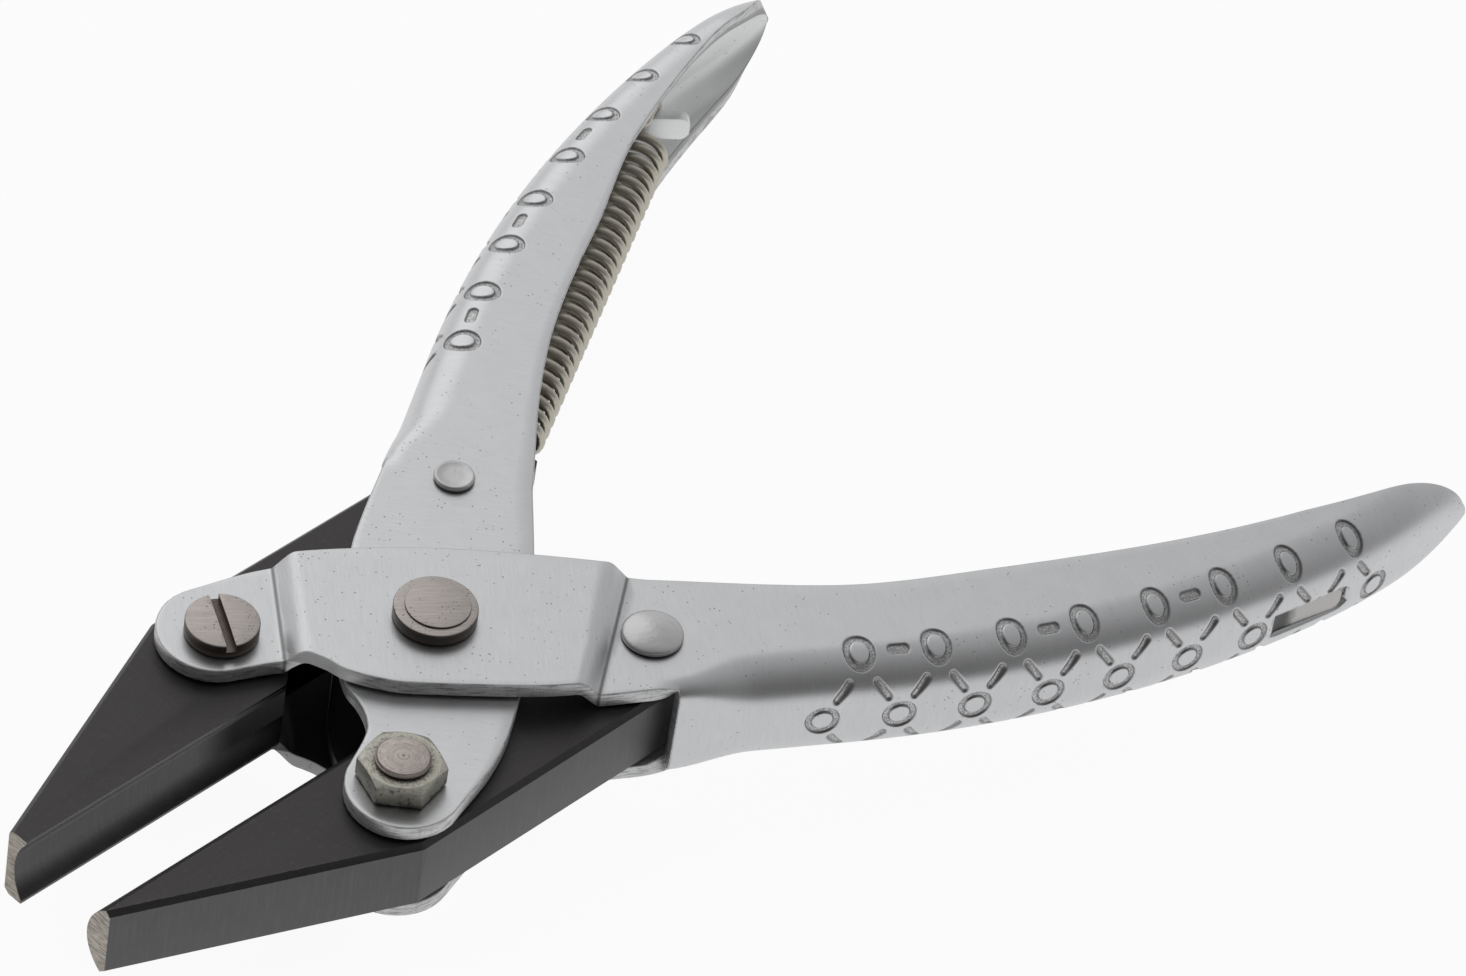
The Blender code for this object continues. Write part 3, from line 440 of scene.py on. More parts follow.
class Section:
    """The bent section of the channel at one length along it."""

    def __init__(self, run, side):
        self.run, self.side = run, side
        self.place, self.along, self.inward = back_line(run, side)
        over = max(0.0, run - LENGTH[side] + NOSE_LENGTH) / NOSE_LENGTH
        half = CHEEK_TOP * math.sqrt(max(1.0 - over**NOSE_ROUND, NOSE_BLUNT))
        line = DEPTH_LINE[side]
        depth = float(np.interp(run / LENGTH[side], line[:, 0], line[:, 1]))
        depth = max(depth - NOSE_CUT * over**3, LEAST_DEPTH)
        grow = min(run / GROWTH_RUN, 1.0)
        corner = CORNER_AT_MOUTH + CORNER_GROWTH * grow * grow * (3 - 2 * grow)
        corner = min(corner, half if depth >= half else (half**2 + depth**2) / (2 * depth))
        self.bend = 0.5 * math.pi if depth >= corner else math.acos(1 - depth / corner)
        self.corner = corner
        self.wall = half - corner * math.sin(self.bend)
        self.round_end = self.wall + corner * self.bend
        self.rim = self.round_end + max(depth - corner, 0.0)

    def lean(self, s):
        """Turn of the sheet at s along the section: 0 on the back, a right angle on the cheeks."""
        return min(max((abs(s) - self.wall) / self.corner, 0.0), self.bend)

    def vector(self, inward, height):
        return Vector((self.side * self.inward.x * inward, self.inward.y * inward, height))

    def inwards(self, s):
        lean = self.lean(s)
        return self.vector(math.cos(lean), -math.copysign(math.sin(lean), s))

    def rimwards(self, s):
        lean = self.lean(s)
        return self.vector(math.sin(lean), math.copysign(math.cos(lean), s))

    def rearwards(self):
        return Vector((self.side * self.along.x, self.along.y, 0.0))

    def point(self, s, sink=0.0):
        lean = self.lean(s)
        far = max(abs(s) - self.round_end, 0.0)
        w = self.corner * (1 - math.cos(lean)) + far * math.sin(lean) + sink * math.cos(lean)
        z = min(abs(s), self.wall) + self.corner * math.sin(lean) + far * math.cos(lean)
        z = math.copysign(z - sink * math.sin(lean), s)
        spot = self.place + self.inward * w
        return Vector((self.side * spot.x, spot.y, z))

    def pattern(self, s):
        """Place of s on the blank before it was bent, measured from the middle of the back."""
        far = max(abs(s) - self.round_end, 0.0)
        flat = min(abs(s), self.wall) + (self.corner - 0.5 * SHEET) * self.lean(s) + far
        return math.copysign(flat, s)


print("half a section 30 mm along, in mm:", round(Section(30.0, 1).rim, 2))

# %% [markdown]
# ## Stamped grip marks
# Before folding, a press marked the blank for a better grip: rows of rings, with short bars between them. A
# ring has a flat floor, a bar a rounded one, so that bars of either slant catch the light differently. A
# bump in the finish would be quicker, but real grooves show in every light and in the exported mesh. The
# function gives how deep the press went at any place on the blank, from 0 to 1.

# %% Stamped grip marks
PRESS_DEPTH = 0.24
RING_IN, RING_OUT = 1.0, 1.58
ROW_DRIFT = 0.02
TOP_ROW, TOP_START, TOP_PITCH = 5.85, 17.3, 7.40
MID_START, MID_PITCH = 13.8, 7.25
BAR_ROW, BAR_RISE, BAR_RADIUS, BAR_SLOPE = 2.8, 0.66, 0.29, 0.38
BARS = ((15.45, 7.30, 0.56), (19.2, 7.25, -0.56))
PAIR_LONG, PAIR_RADIUS = 0.65, 0.4
LAST_RING, LAST_MIDDLE, SLOT_RING, LAST_PAIR = 7, 8, 7, 2
SQUEEZE, SQUEEZE_GROWTH = 1.08, 0.0058


def step_down(inside, slope):
    """0 outside a mark and 1 inside it, over a slope of that width."""
    t = min(max(inside / slope + 0.5, 0.0), 1.0)
    return t * t * (3 - 2 * t)


def nearest(run, pitch, last):
    """Number of the nearest mark in a row, from 0 to last."""
    return min(max(round(run / pitch), 0), last)


def ring_depth(run, across, slope):
    away = math.hypot(run, across)
    return min(step_down(away - RING_IN, slope), step_down(RING_OUT - away, slope))


def bar_depth(run, across, long, rise, radius, slope):
    """A short bar through the middle, from (-long, -rise) to (long, rise)."""
    share = min(max((run * long + across * rise) / (long * long + rise * rise), -1.0), 1.0)
    return step_down(radius - math.hypot(run - long * share, across - rise * share), slope)


def press(run, across, slope=0.13):
    """Depth of the stamping at a place on the blank, as a share of the full depth."""
    across = abs(across + ROW_DRIFT * max(run - STRAIGHT_RUN, 0.0))
    from_top = run - TOP_START - TOP_PITCH * nearest(run - TOP_START, TOP_PITCH, LAST_RING)
    squeeze = SQUEEZE + SQUEEZE_GROWTH * (run - TOP_START)
    depth = ring_depth(from_top * squeeze, across - TOP_ROW, slope)
    middle = round((run - MID_START) / MID_PITCH)
    if 0 <= middle <= LAST_MIDDLE and middle != SLOT_RING:
        depth = max(depth, ring_depth(run - MID_START - MID_PITCH * middle, across, slope))
    for start, pitch, long in BARS:
        from_bar = run - start - pitch * nearest(run - start, pitch, LAST_RING)
        bar = bar_depth(from_bar, across - BAR_ROW, long, BAR_RISE, BAR_RADIUS, max(slope, BAR_SLOPE))
        depth = max(depth, bar)
    pair = nearest(run - TOP_START - 0.5 * TOP_PITCH, 2 * TOP_PITCH, LAST_PAIR)
    from_pair = run - TOP_START - (0.5 + 2 * pair) * TOP_PITCH
    return max(depth, bar_depth(from_pair, across - TOP_ROW, PAIR_LONG, 0.0, PAIR_RADIUS, slope))


print("stamping depth on a ring:", round(press(TOP_START + 1.3, TOP_ROW), 2))

# %% [markdown]
# ## Folding the sheet
# A flat grid is laid out like the blank and each of its points is moved to its place on the folded channel.
# A second grid, one sheet thickness further in, is the inside. A bend modifier could fold a plain strip,
# but not a channel whose depth and corners change along it. First come the places of the grid's columns and
# rows, close together where the marks are. The shears left the rims' cut leaning a little, and the upper
# rims were trimmed by hand towards the tail, not the same on both handles.

# %% Columns and rows of the blank
DENSE, DENSE_STEP, TO_RIM, MOUTH_HALF = 25, 0.35, 7, 15
CORNER_COLUMN = DENSE + TO_RIM - MOUTH_HALF
SHEAR_LEAN, LEAN_RUN = 0.35, 14.0
TRIM = {-1: (1.0, (46.0, 16.0), (75.0, 8.0)), 1: (-0.65, (25.0, 20.0), (72.0, 12.0))}
GRIP_START, TAIL_END = 11.0, 75.5
TAB_START, TAB_SLOT, TAB_HALF, TAB_DROP = 59.5, 9.0, 1.4, 0.6
SLOT_END = TAB_START + TAB_SLOT


def upper_trim(run, side):
    """How much less deep the upper cheek is than the lower one, or deeper where it is below 0."""
    most, (start, start_slope), (end, end_slope) = TRIM[side]
    return most * step_down(run - start, start_slope) * step_down(end - run, end_slope)


def half_columns(end, lean):
    """Places from the middle of the back to one rim, close together at the marks."""
    close = DENSE * DENSE_STEP * min(1.0, (end - 0.5) / (DENSE * DENSE_STEP))
    end -= min(lean, 0.9 * (end - close))
    places = [close * j / DENSE for j in range(DENSE)]
    return places + [close + (end - close) * (j / TO_RIM) ** 1.25 for j in range(TO_RIM + 1)]


def columns(section, inside=False):
    """Places along the section from the upper rim to the lower one."""
    end = section.rim - SOFT_EDGE
    lean = SHEAR_LEAN * min(section.run / LEAN_RUN, 1.0) if inside else 0.0
    upper = half_columns(end - upper_trim(section.run, section.side), lean)
    lower = half_columns(end, lean)
    return upper[::-1] + [-s for s in lower[1:]]


def row_places(side):
    """Lengths along the channel of the grid's rows, close together where the marks are."""
    tip = LENGTH[side] - SOFT_EDGE
    start = [SOFT_EDGE + (GRIP_START - SOFT_EDGE) * i / 12 for i in range(12)]
    grip = [GRIP_START + (TAB_START - GRIP_START) * i / 110 for i in range(110)]
    slot = [TAB_START + TAB_SLOT * i / 21 for i in range(21)]
    tail = [SLOT_END + (TAIL_END - SLOT_END) * i / 16 for i in range(16)]
    nose = [TAIL_END + (tip - TAIL_END) * math.sin(0.5 * math.pi * i / 26) for i in range(25)]
    return start + grip + slot + tail + nose + [tip]


print("grid of the right channel:", len(row_places(1)), "rows of", len(columns(Section(30.0, 1))), "points")

# %% [markdown]
# ## Patches and cut edges
# Every patch is a flat grid whose points move to their places by a rule, and each point keeps what the
# finish has to know. A cut edge is a narrow strip across the sheet's thickness, rounded along both borders.
# The patches share their border points, so that merging them gives one closed sheet.


# %% Patches and cut edges
def lay_patch(bm, rows, count, place, layers):
    """A grid of rows times count points; place(row, column) gives a point and its four attributes."""
    made = bmesh.ops.create_grid(bm, x_segments=count - 1, y_segments=rows - 1, size=0.5)
    for vert in made["verts"]:
        column = round((vert.co.x + 0.5) * (count - 1))
        row = round((vert.co.y + 0.5) * (rows - 1))
        vert.co, blank, *rest = place(row, column)
        vert[layers[0]] = Vector((blank[0], blank[1], 0.0))
        for layer, value in zip(layers[1:], rest):
            vert[layer] = value
    return made["verts"]


EDGE_TURNS = [math.radians(30 * k) for k in range(4)]
EDGE = [(SOFT_EDGE * math.sin(t), SOFT_EDGE * (1 - math.cos(t))) for t in EDGE_TURNS]
EDGE += [(SOFT_EDGE, 0.5 * SHEET)] + [(out, SHEET - sink) for out, sink in reversed(EDGE)]
CUT_ALL_OVER = [0.0] + [1.0] * (len(EDGE) - 2) + [0.0]
# The rims' strips carry 0.5 on their inner half, where the painted shadow line under the rims lies.
CUT_WITH_SHADOW_LINE = [0.0] + [1.0] * 4 + [0.5] * 3 + [0.0]


def lay_edge(bm, border, layers, cut=CUT_ALL_OVER):
    """A strip across the sheet's thickness along a border of (point, outward, inward, blank)."""

    def place(row, column):
        point, outward, inward, blank = border[row]
        out, sink = EDGE[column]
        return point + outward * out + inward * sink, blank, 0.0, cut[column], float(column == 0)

    lay_patch(bm, len(border), len(EDGE), place, layers)


print("strip points across a cut edge:", len(EDGE))

# %% [markdown]
# ## Slot and stamping
# A slot stays open where a tongue was cut free. Grid points close to its outline move onto it, and the
# faces inside are deleted, which gives a round end with no boolean cut. The outside is then divided where
# the marks are, and the press moves its points in.

# %% Slot and stamping
ROUND_CENTRE = SLOT_END - TAB_HALF
SNAP, ROUND_SNAP = 0.18, 0.2


def in_slot(run, s):
    if run < ROUND_CENTRE:
        return run > TAB_START and abs(s + TAB_DROP) < TAB_HALF
    return math.hypot(run - ROUND_CENTRE, s + TAB_DROP) < TAB_HALF


def to_slot(run, s):
    """Moves a grid point that is close to the slot's edge onto it."""
    across = s + TAB_DROP
    if TAB_START - 0.01 < run <= ROUND_CENTRE and abs(abs(across) - TAB_HALF) < SNAP:
        return run, math.copysign(TAB_HALF, across) - TAB_DROP
    away = math.hypot(run - ROUND_CENTRE, across)
    if run > ROUND_CENTRE and abs(away - TAB_HALF) < ROUND_SNAP:
        share = TAB_HALF / away
        return ROUND_CENTRE + (run - ROUND_CENTRE) * share, across * share - TAB_DROP
    return run, s


def by_slot(blank):
    near = TAB_START - ROUND_SNAP < blank.x < SLOT_END + ROUND_SNAP
    return near and abs(blank.y + TAB_DROP) < TAB_HALF + ROUND_SNAP


def middle_on_blank(face, layers):
    return sum((vert[layers[0]] for vert in face.verts), Vector()) / len(face.verts)


def stamp(bm, skin, side, layers):
    """Divides the outside where the marks are and presses them in."""
    near = []
    for face in skin:
        middle = middle_on_blank(face, layers)
        if press(middle.x, Section(middle.x, side).pattern(middle.y), 1.0) > 0.0:
            near.append(face)
    edges = list({edge for face in near for edge in face.edges})
    bmesh.ops.subdivide_edges(bm, edges=edges, cuts=3, use_grid_fill=True)
    corners = {vert for face in bm.faces for vert in face.verts if vert[layers[3]] > 0.999}
    for vert in corners:
        run, s = vert[layers[0]].x, vert[layers[0]].y
        section = Section(run, side)
        depth = press(run, section.pattern(s))
        vert[layers[1]] = depth
        vert.co = section.point(s, PRESS_DEPTH * depth)
    return len(near)


print("slot from", TAB_START, "to", SLOT_END, "mm along the back")

# %% [markdown]
# ## The channel
# The outside, the inside, the two rims, the mouth's edge and the tip's edge are laid one after the other
# into the same mesh. The walls of the slot are extruded from its outline, through the sheet.


# %% The channel
def lay_channel(bm, side, layers):
    """Outside, inside, rims, mouth edge and tip edge of the folded channel."""
    sections = [Section(run, side) for run in row_places(side)]
    grid = [columns(section) for section in sections]
    inner_grid = [columns(section, inside=True) for section in sections]
    count = len(grid[0])

    def across(row, column):
        section = sections[row]
        return (section.point(inner_grid[row][column], SHEET) - section.point(grid[row][column])) / SHEET

    for sink, places in ((SHEET, inner_grid), (0.0, grid)):

        def place(row, column):
            section, s = sections[row], places[row][column]
            run, s = to_slot(section.run, s)
            if run != section.run:
                section = Section(run, side)
            return section.point(s, sink), (run, s), 0.0, 0.0, float(sink == 0.0)

        verts = lay_patch(bm, len(sections), count, place, layers)
        faces = {face for vert in verts for face in vert.link_faces}
        gone = [face for face in faces if in_slot(*middle_on_blank(face, layers).xy)]
        bmesh.ops.delete(bm, geom=gone, context="FACES")
    skin = [vert for vert in verts if vert.is_valid]
    open_edges = {edge for vert in skin for edge in vert.link_edges if edge.is_boundary}
    ring = [edge for edge in open_edges if all(by_slot(vert[layers[0]]) for vert in edge.verts)]
    wall = bmesh.ops.extrude_edge_only(bm, edges=ring)["geom"]
    for vert in (part for part in wall if isinstance(part, bmesh.types.BMVert)):
        vert.co = Section(vert[layers[0]].x, side).point(vert[layers[0]].y, SHEET)
        vert[layers[3]] = 0.0
    faces = {f for v in skin for f in v.link_faces if all(u[layers[3]] > 0.999 for u in f.verts)}
    print("faces with stamped marks:", stamp(bm, faces, side, layers))
    for way in (0, count - 1):
        border = []
        for i, section in enumerate(sections):
            s = grid[i][way]
            outward = section.rimwards(s)
            if section is sections[-1]:
                outward = outward + section.rearwards()
            border.append((section.point(s), outward, across(i, way), (section.run, s)))
        lay_edge(bm, border, layers, CUT_WITH_SHADOW_LINE)
    for i, way in ((len(sections) - 1, 1.0), (0, -1.0)):
        section = sections[i]
        used = range(count) if way > 0 else range(CORNER_COLUMN, count - CORNER_COLUMN)
        border = []
        for j in used:
            s = grid[i][j]
            outward = section.rearwards() * way
            if j in (used[0], used[-1]):
                outward = outward + section.rimwards(s) * way
            border.append((section.point(s), outward, across(i, j), (section.run, s)))
        lay_edge(bm, border, layers)
    return sections[0], grid[0]


print("columns from a rim to its corner:", CORNER_COLUMN)

# %% [markdown]
# ## The flat cheeks
# In front of the mouth the blank stays flat: two cheeks with a waist and a round lobe for the jaw's screw.
# Their side lines are smooth curves through a few points of the CAD part, (across, along) from the pivot.

# %% Side lines of a cheek
LOBE = Vector((-0.45, -SCREW.length - 0.55))
LOBE_RADIUS, LOBE_FROM, LOBE_TURN, LOBE_FADE = 5.3, 198, 170, 5
CHEEK_ROWS, EASE_ROWS = 150, 9
INNER_LINE = [
    (-7.79, 0.5 * RIVET_U), (-8.76, 0.0), (-8.63, -0.5 * SCREW.length), (-7.70, -0.8 * SCREW.length)
]
FRONT_LINE = [(3.85, 4.6), (4.03, 6.6), (5.12, 8.7), (6.48, 10.4), (7.66, 13.4), (8.23, 16.6)]
OUTER_LINE = [(across, along - SCREW.length) for across, along in FRONT_LINE]
OUTER_LINE += [(8.75, 0.4 * RIVET_U), (8.36, 0.7 * RIVET_U)]


def even_line(points, count):
    """The smooth line through the points, cut into count equal lengths."""
    line = smooth_line(points, 10)
    far = np.concatenate([[0.0], np.cumsum(np.linalg.norm(np.diff(line, axis=0), axis=1))])
    at = np.linspace(0.0, far[-1], count + 1)
    return [Vector((np.interp(a, far, line[:, 0]), np.interp(a, far, line[:, 1]))) for a in at]


def outward_normals(line):
    ends = [line[0]] + line + [line[-1]]
    ways = [(after - before).normalized() for before, after in zip(ends, ends[2:])]
    return [Vector((way.y, -way.x)) for way in ways]


def ease(row):
    """Share of the folded mouth's form that a row of the cheek keeps."""
    return max(0.0, 1.0 - row / EASE_ROWS) ** 2


def cheek_borders(side, up, section, row):
    """Mouth, inner side, outer side and lobe of a cheek, each with the ways that it faces."""
    if up > 0:
        used = range(CORNER_COLUMN + 1)
    else:
        used = range(len(row) - 1, len(row) - CORNER_COLUMN - 2, -1)
    last = len(used) - 1

    def local(point):
        return Vector((side * point.x, point.y, up * CHEEK_TOP))

    def level(way):
        return Vector((side * way.x, way.y, 0.0))

    mouth = [section.point(row[j]) for j in used]
    rim, corner = mouth[0], mouth[-1]
    rim_out = section.rimwards(row[used[0]])
    corner_out = -section.rimwards(row[used[-1]]) - section.rearwards()
    start = (level(rim) + level(rim_out) * SOFT_EDGE).xy
    stop = (level(corner) + level(corner_out) * SOFT_EDGE).xy
    turns = [math.radians(LOBE_FROM + LOBE_TURN * j / last) for j in range(last + 1)]
    ways = [Vector((math.cos(t), math.sin(t))) for t in turns]
    inner = even_line([start] + INNER_LINE + [LOBE + ways[0] * LOBE_RADIUS], CHEEK_ROWS)
    outer = even_line([LOBE + ways[-1] * LOBE_RADIUS] + OUTER_LINE + [stop], CHEEK_ROWS)
    inner_out, outer_out = outward_normals(inner), outward_normals(outer)
    inner_out[-1], outer_out[0] = ways[0], ways[-1]
    inner_side = [local(p - n * SOFT_EDGE) for p, n in zip(inner, inner_out)]
    outer_side = [local(p - n * SOFT_EDGE) for p, n in zip(outer, outer_out)][::-1]
    inner_ways = [level(n) for n in inner_out]
    outer_ways = [level(n) for n in outer_out][::-1]
    drop = corner - outer_side[0]
    outer_side = [point + drop * ease(i) for i, point in enumerate(outer_side)]
    inner_side[0], outer_side[0] = rim, corner
    inner_ways[0], outer_ways[0] = rim_out, corner_out
    lobe = [local(LOBE + way * (LOBE_RADIUS - SOFT_EDGE)) for way in ways]
    mouth_in = [section.inwards(row[j]) for j in used]
    lobe_ways = [level(way) for way in ways]
    return (mouth, mouth_in), (inner_side, inner_ways), (outer_side, outer_ways), (lobe, lobe_ways)


print("cheek rows from mouth to lobe:", CHEEK_ROWS)

# %% [markdown]
# ## Filling a cheek
# A cheek is a patch between its four borders. Each point is blended from the two sides, and the bends of
# the mouth and of the lobe are added to it. The lobe's bend fades quickly, so that no row crosses a side at
# the waist. Near the mouth the rows ease out of the folded form into the flat.


# %% Filling a cheek
def lay_cheek(bm, side, up, section, row, layers):
    """One flat cheek from the mouth to the lobe; up is 1 for the upper one and -1 for the lower."""
    borders = cheek_borders(side, up, section, row)
    (mouth, mouth_in), (inner_side, inner_ways), (outer_side, outer_ways), (lobe, lobe_ways) = borders
    last = len(mouth) - 1
    flat = up * CHEEK_TOP
    flat_in = Vector((0.0, 0.0, -up))

    def inward(i, j):
        return (mouth_in[j] * ease(i) + flat_in * (1 - ease(i))).normalized()

    def point(i, j):
        if i == 0:
            return mouth[j]
        a, b = j / last, i / CHEEK_ROWS
        from_mouth = mouth[j] - mouth[0] * (1 - a) - mouth[-1] * a
        from_chord = lobe[j] - lobe[0] * (1 - a) - lobe[-1] * a
        made = inner_side[i] * (1 - a) + outer_side[i] * a
        made = made + from_mouth * (1 - b) + from_chord * b**LOBE_FADE
        made.z = flat + (mouth[j].z - flat) * ease(i)
        return made

    def blank(spot):
        return spot.y - MOUTH.y, up * (section.rim - MOUTH_DEPTH + MOUTH.x - side * spot.x)

    def border_point(i, j, way):
        return point(i, j), way, inward(i, j), blank(point(i, j))

    for sink in (0.0, SHEET):

        def place(i, j):
            spot = point(i, j)
            return spot + inward(i, j) * sink, blank(spot), 0.0, 0.0, float(sink == 0.0)

        lay_patch(bm, CHEEK_ROWS + 1, last + 1, place, layers)
    for j, ways in ((0, inner_ways), (last, outer_ways)):
        lay_edge(bm, [border_point(i, j, way) for i, way in enumerate(ways)], layers)
    lay_edge(bm, [border_point(CHEEK_ROWS, j, way) for j, way in enumerate(lobe_ways)], layers)


print("the mouth's form fades over", EASE_ROWS, "rows")

# %% [markdown]
# ## The joggle
# The right handle's cheeks lie outside the left one's, so a press lifted their middle by a little more than
# one sheet thickness, over two short ramps. A ramp starts at a sharp crease and ends in a soft bend. Points
# of the flat cheek are simply lifted by their distance from the two creases, and that distance is kept for
# the painted shade along the crease. It is counted from FOLD_ZERO, so that the left handle, where it stays
# 0, shows no painted crease shade.

# %% The joggle
RAMP, RAMP_BEND, LIFT, REAR_SLANT = 2.1, 0.6, 1.75, 0.3
FRONT_CREASE, REAR_CREASE, FOLD_REACH = 5.3 - SCREW.length, RIVET_U - 3.2, 5.0


def ramp_height(share):
    """Height along a ramp: a straight slope from a sharp crease, then a soft upper bend."""
    share = min(max(share, 0.0), 1.0)
    past = max(share - RAMP_BEND, 0.0)
    slope = 2.0 / (1.0 + RAMP_BEND)
    return slope * share - 0.5 * slope * past * past / (1.0 - RAMP_BEND)


def lift_over(bm, side, fold):
    """Lifts the front of the outer handle over the inner one, between a front and a rear ramp."""
    for vert in bm.verts:
        ahead = vert.co.y - FRONT_CREASE
        behind = REAR_CREASE - vert.co.y - side * REAR_SLANT * vert.co.x
        inside = min(ahead, behind)
        vert[fold] = FOLD_ZERO + min(max(inside, -FOLD_REACH), FOLD_REACH)
        vert.co.z += math.copysign(LIFT * ramp_height(inside / RAMP), vert.co.z)


print("height half way up a ramp:", round(LIFT * ramp_height(0.5), 2), "mm")

# %% [markdown]
# ## Showing a piece
# Every finished mesh goes the same way: its normals are set, it gets its finishes, rides on a body of the
# frame and stands for the CAD nodes that it replaces. The count of open edges tells at once whether a seam
# has been missed.


# %% Showing a piece
def edge_uses(mesh):
    uses = np.zeros(len(mesh.edges), int)
    loops = np.zeros(len(mesh.loops), int)
    mesh.loops.foreach_get("edge_index", loops)
    np.add.at(uses, loops, 1)
    return uses


def show(name, bm, body, nodes, finishes, crease=None):
    """Makes a finished mesh piece that rides on a body and stands for CAD nodes."""
    bmesh.ops.recalc_face_normals(bm, faces=bm.faces)
    mesh = bpy.data.meshes.new(name)
    bm.to_mesh(mesh)
    bm.free()
    mesh.polygons.foreach_set("use_smooth", [True] * len(mesh.polygons))
    if crease:
        mesh.set_sharp_from_angle(angle=math.radians(crease))
    made = bpy.data.objects.new(name, mesh)
    scene.collection.objects.link(made)
    for finish in finishes:
        mesh.materials.append(finish.material)
    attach(made, body)
    if nodes:
        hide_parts(*nodes)
    corners = np.array([v.co for v in mesh.vertices]) / MM
    size = np.round(corners.max(0) - corners.min(0), 2)
    open_edges = sum(1 for count in edge_uses(mesh) if count != 2)
    print(name, len(mesh.polygons), "faces, size in mm", size, "open edges", open_edges)
    return made


def evaluated_mesh(holder):
    """The mesh of an object as its modifiers or its round section make it."""
    return bpy.data.meshes.new_from_object(holder.evaluated_get(bpy.context.evaluated_depsgraph_get()))


def soften(bm, edges, width):
    """Rounds the edges by a width in the mesh's own unit, and gives the new faces."""
    made = bmesh.ops.bevel(
        bm, geom=edges, offset=width, offset_type="OFFSET", segments=2, profile=0.5,
        affect="EDGES", material=-1, clamp_overlap=True,
    )
    return made["faces"]


print("nodes of the measured part to stand for:", len(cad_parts))

# %% [markdown]
# ## The folded handles
# Channel and cheeks come together in one mesh, whose shared border points are merged. The right handle is
# lifted over the left one, and both are turned from their own lines to their place in the frame.


# %% The folded handles
def handle_to_frame(bm, side):
    place = Matrix.Translation((0.0, 0.0, MID)) @ Matrix.Rotation(-side * HALF_ANGLE, 4, "Z")
    bmesh.ops.transform(bm, matrix=Matrix.Scale(MM, 4) @ place, verts=bm.verts)


def fold_handle(name, side, node):
    bm = bmesh.new()
    layers = (
        bm.verts.layers.float_vector.new("sheet"),
        bm.verts.layers.float.new("stamp"),
        bm.verts.layers.float.new("cut"),
        bm.verts.layers.float.new("outside"),
    )
    fold = bm.verts.layers.float.new("fold")
    section, row = lay_channel(bm, side, layers)
    for up in (1, -1):
        lay_cheek(bm, side, up, section, row, layers)
    bmesh.ops.remove_doubles(bm, verts=bm.verts, dist=0.002)
    if side > 0:
        lift_over(bm, side, fold)
    handle_to_frame(bm, side)
    return show(name, bm, node, [node], [sheet_finish])


fold_handle("left_handle_folded", -1, "left_handle")
fold_handle("right_handle_folded", 1, "right_handle")

# %% [markdown]
# ## Tongues
# A tongue in each handle's back was cut free on three sides. The left one is bent in, and the spring's rear
# hook holds on it. The right one holds nothing and lies almost level in its slot. Both are painted dark at
# the root as painted shade where they bend, and the right one is painted darker all over as painted shade in
# its slot. A tongue is a narrow grid laid along a bent line and given the sheet's thickness.

# %% Tongue finish
tab_finish = Finish("tongue_painted_shade")
smear = tab_finish.place.noise(2.0, 4.0, 0.65)
on_right = tab_finish.place.axis(0).ramp(-1.0, 1.0)
# Painted shade at the root of each tongue, where it bends.
root_shade = 1.0 - (tab_finish.attribute("bent", 2) + smear * 0.15 + on_right * 0.16).ramp(0.48, 0.66)
tone = smear.mix((0.62, 0.63, 0.63), (0.76, 0.77, 0.77))
# Painted shade: the right tongue, inside its slot, is painted darker all over.
tone = (on_right * 0.7).mix(tone, smear.mix((0.32, 0.305, 0.295), (0.44, 0.425, 0.415)))
tab_finish.set(Base_Color=(root_shade * 0.9).mix(tone, (0.055, 0.055, 0.055)), Roughness=0.36 + smear * 0.14)
print("finish", tab_finish.material.name)

# %% Tongues
TAB_LENGTH, TAB_RISE, TAB_THICK = 8.7, math.radians(52.0), 1.3
TAB_HEEL, TAB_SINK, TAB_PLAY, TAB_SOFT = 0.5, 0.12, 0.1, 0.12


def bend_tab(name, side, body, bend_radius, flat_from):
    """A tongue that turns in, and from flat_from on back to the sheet's own direction."""
    section = Section(TAB_START, side)
    steps = np.linspace(-TAB_HEEL, TAB_LENGTH - TAB_HEEL, 400)
    turn = np.minimum(steps / bend_radius, TAB_RISE - (steps - flat_from) / bend_radius)
    turn = np.clip(turn, 0.0, TAB_RISE)
    alongs = np.cumsum(np.cos(turn)) * (steps[1] - steps[0]) - TAB_HEEL
    deeps = np.cumsum(np.sin(turn)) * (steps[1] - steps[0]) + TAB_SINK
    bm = bmesh.new()
    share = bm.verts.layers.float.new("bent")
    made = bmesh.ops.create_grid(bm, x_segments=24, y_segments=8, size=0.5)
    for vert in made["verts"]:
        vert[share] = vert.co.x + 0.5
        far = (vert.co.x + 0.5) * TAB_LENGTH - TAB_HEEL
        half = TAB_HALF - TAB_PLAY
        end = far - (TAB_LENGTH - TAB_HEEL - half)
        if end > 0.0:
            half = half * max(1.0 - (end / half) ** 3, 0.1) ** (1 / 3)
        z = 2.0 * vert.co.y * half
        along, deep = np.interp(far, steps, alongs), np.interp(far, steps, deeps)
        spot = section.place + section.along * float(along) + section.inward * float(deep)
        vert.co = (side * spot.x, spot.y, z - TAB_DROP)
    skin = bm.faces[:]
    bmesh.ops.recalc_face_normals(bm, faces=skin)
    ahead = sum((face.normal for face in skin), Vector())
    if ahead.dot(section.vector(-1.0, 0.0)) < 0.0:
        bmesh.ops.reverse_faces(bm, faces=skin)
    bmesh.ops.solidify(bm, geom=skin, thickness=TAB_THICK)
    bmesh.ops.recalc_face_normals(bm, faces=bm.faces)
    sharp = [edge for edge in bm.edges if edge.is_manifold and edge.calc_face_angle() > 1.0]
    soften(bm, sharp, TAB_SOFT)
    handle_to_frame(bm, side)
    return show(name, bm, body, [], [tab_finish], 40)


bend_tab("left_handle_tab", -1, "left_handle", bend_radius=1.1, flat_from=2 * TAB_LENGTH)
bend_tab("right_handle_tab", 1, "right_handle", bend_radius=0.9, flat_from=0.13)
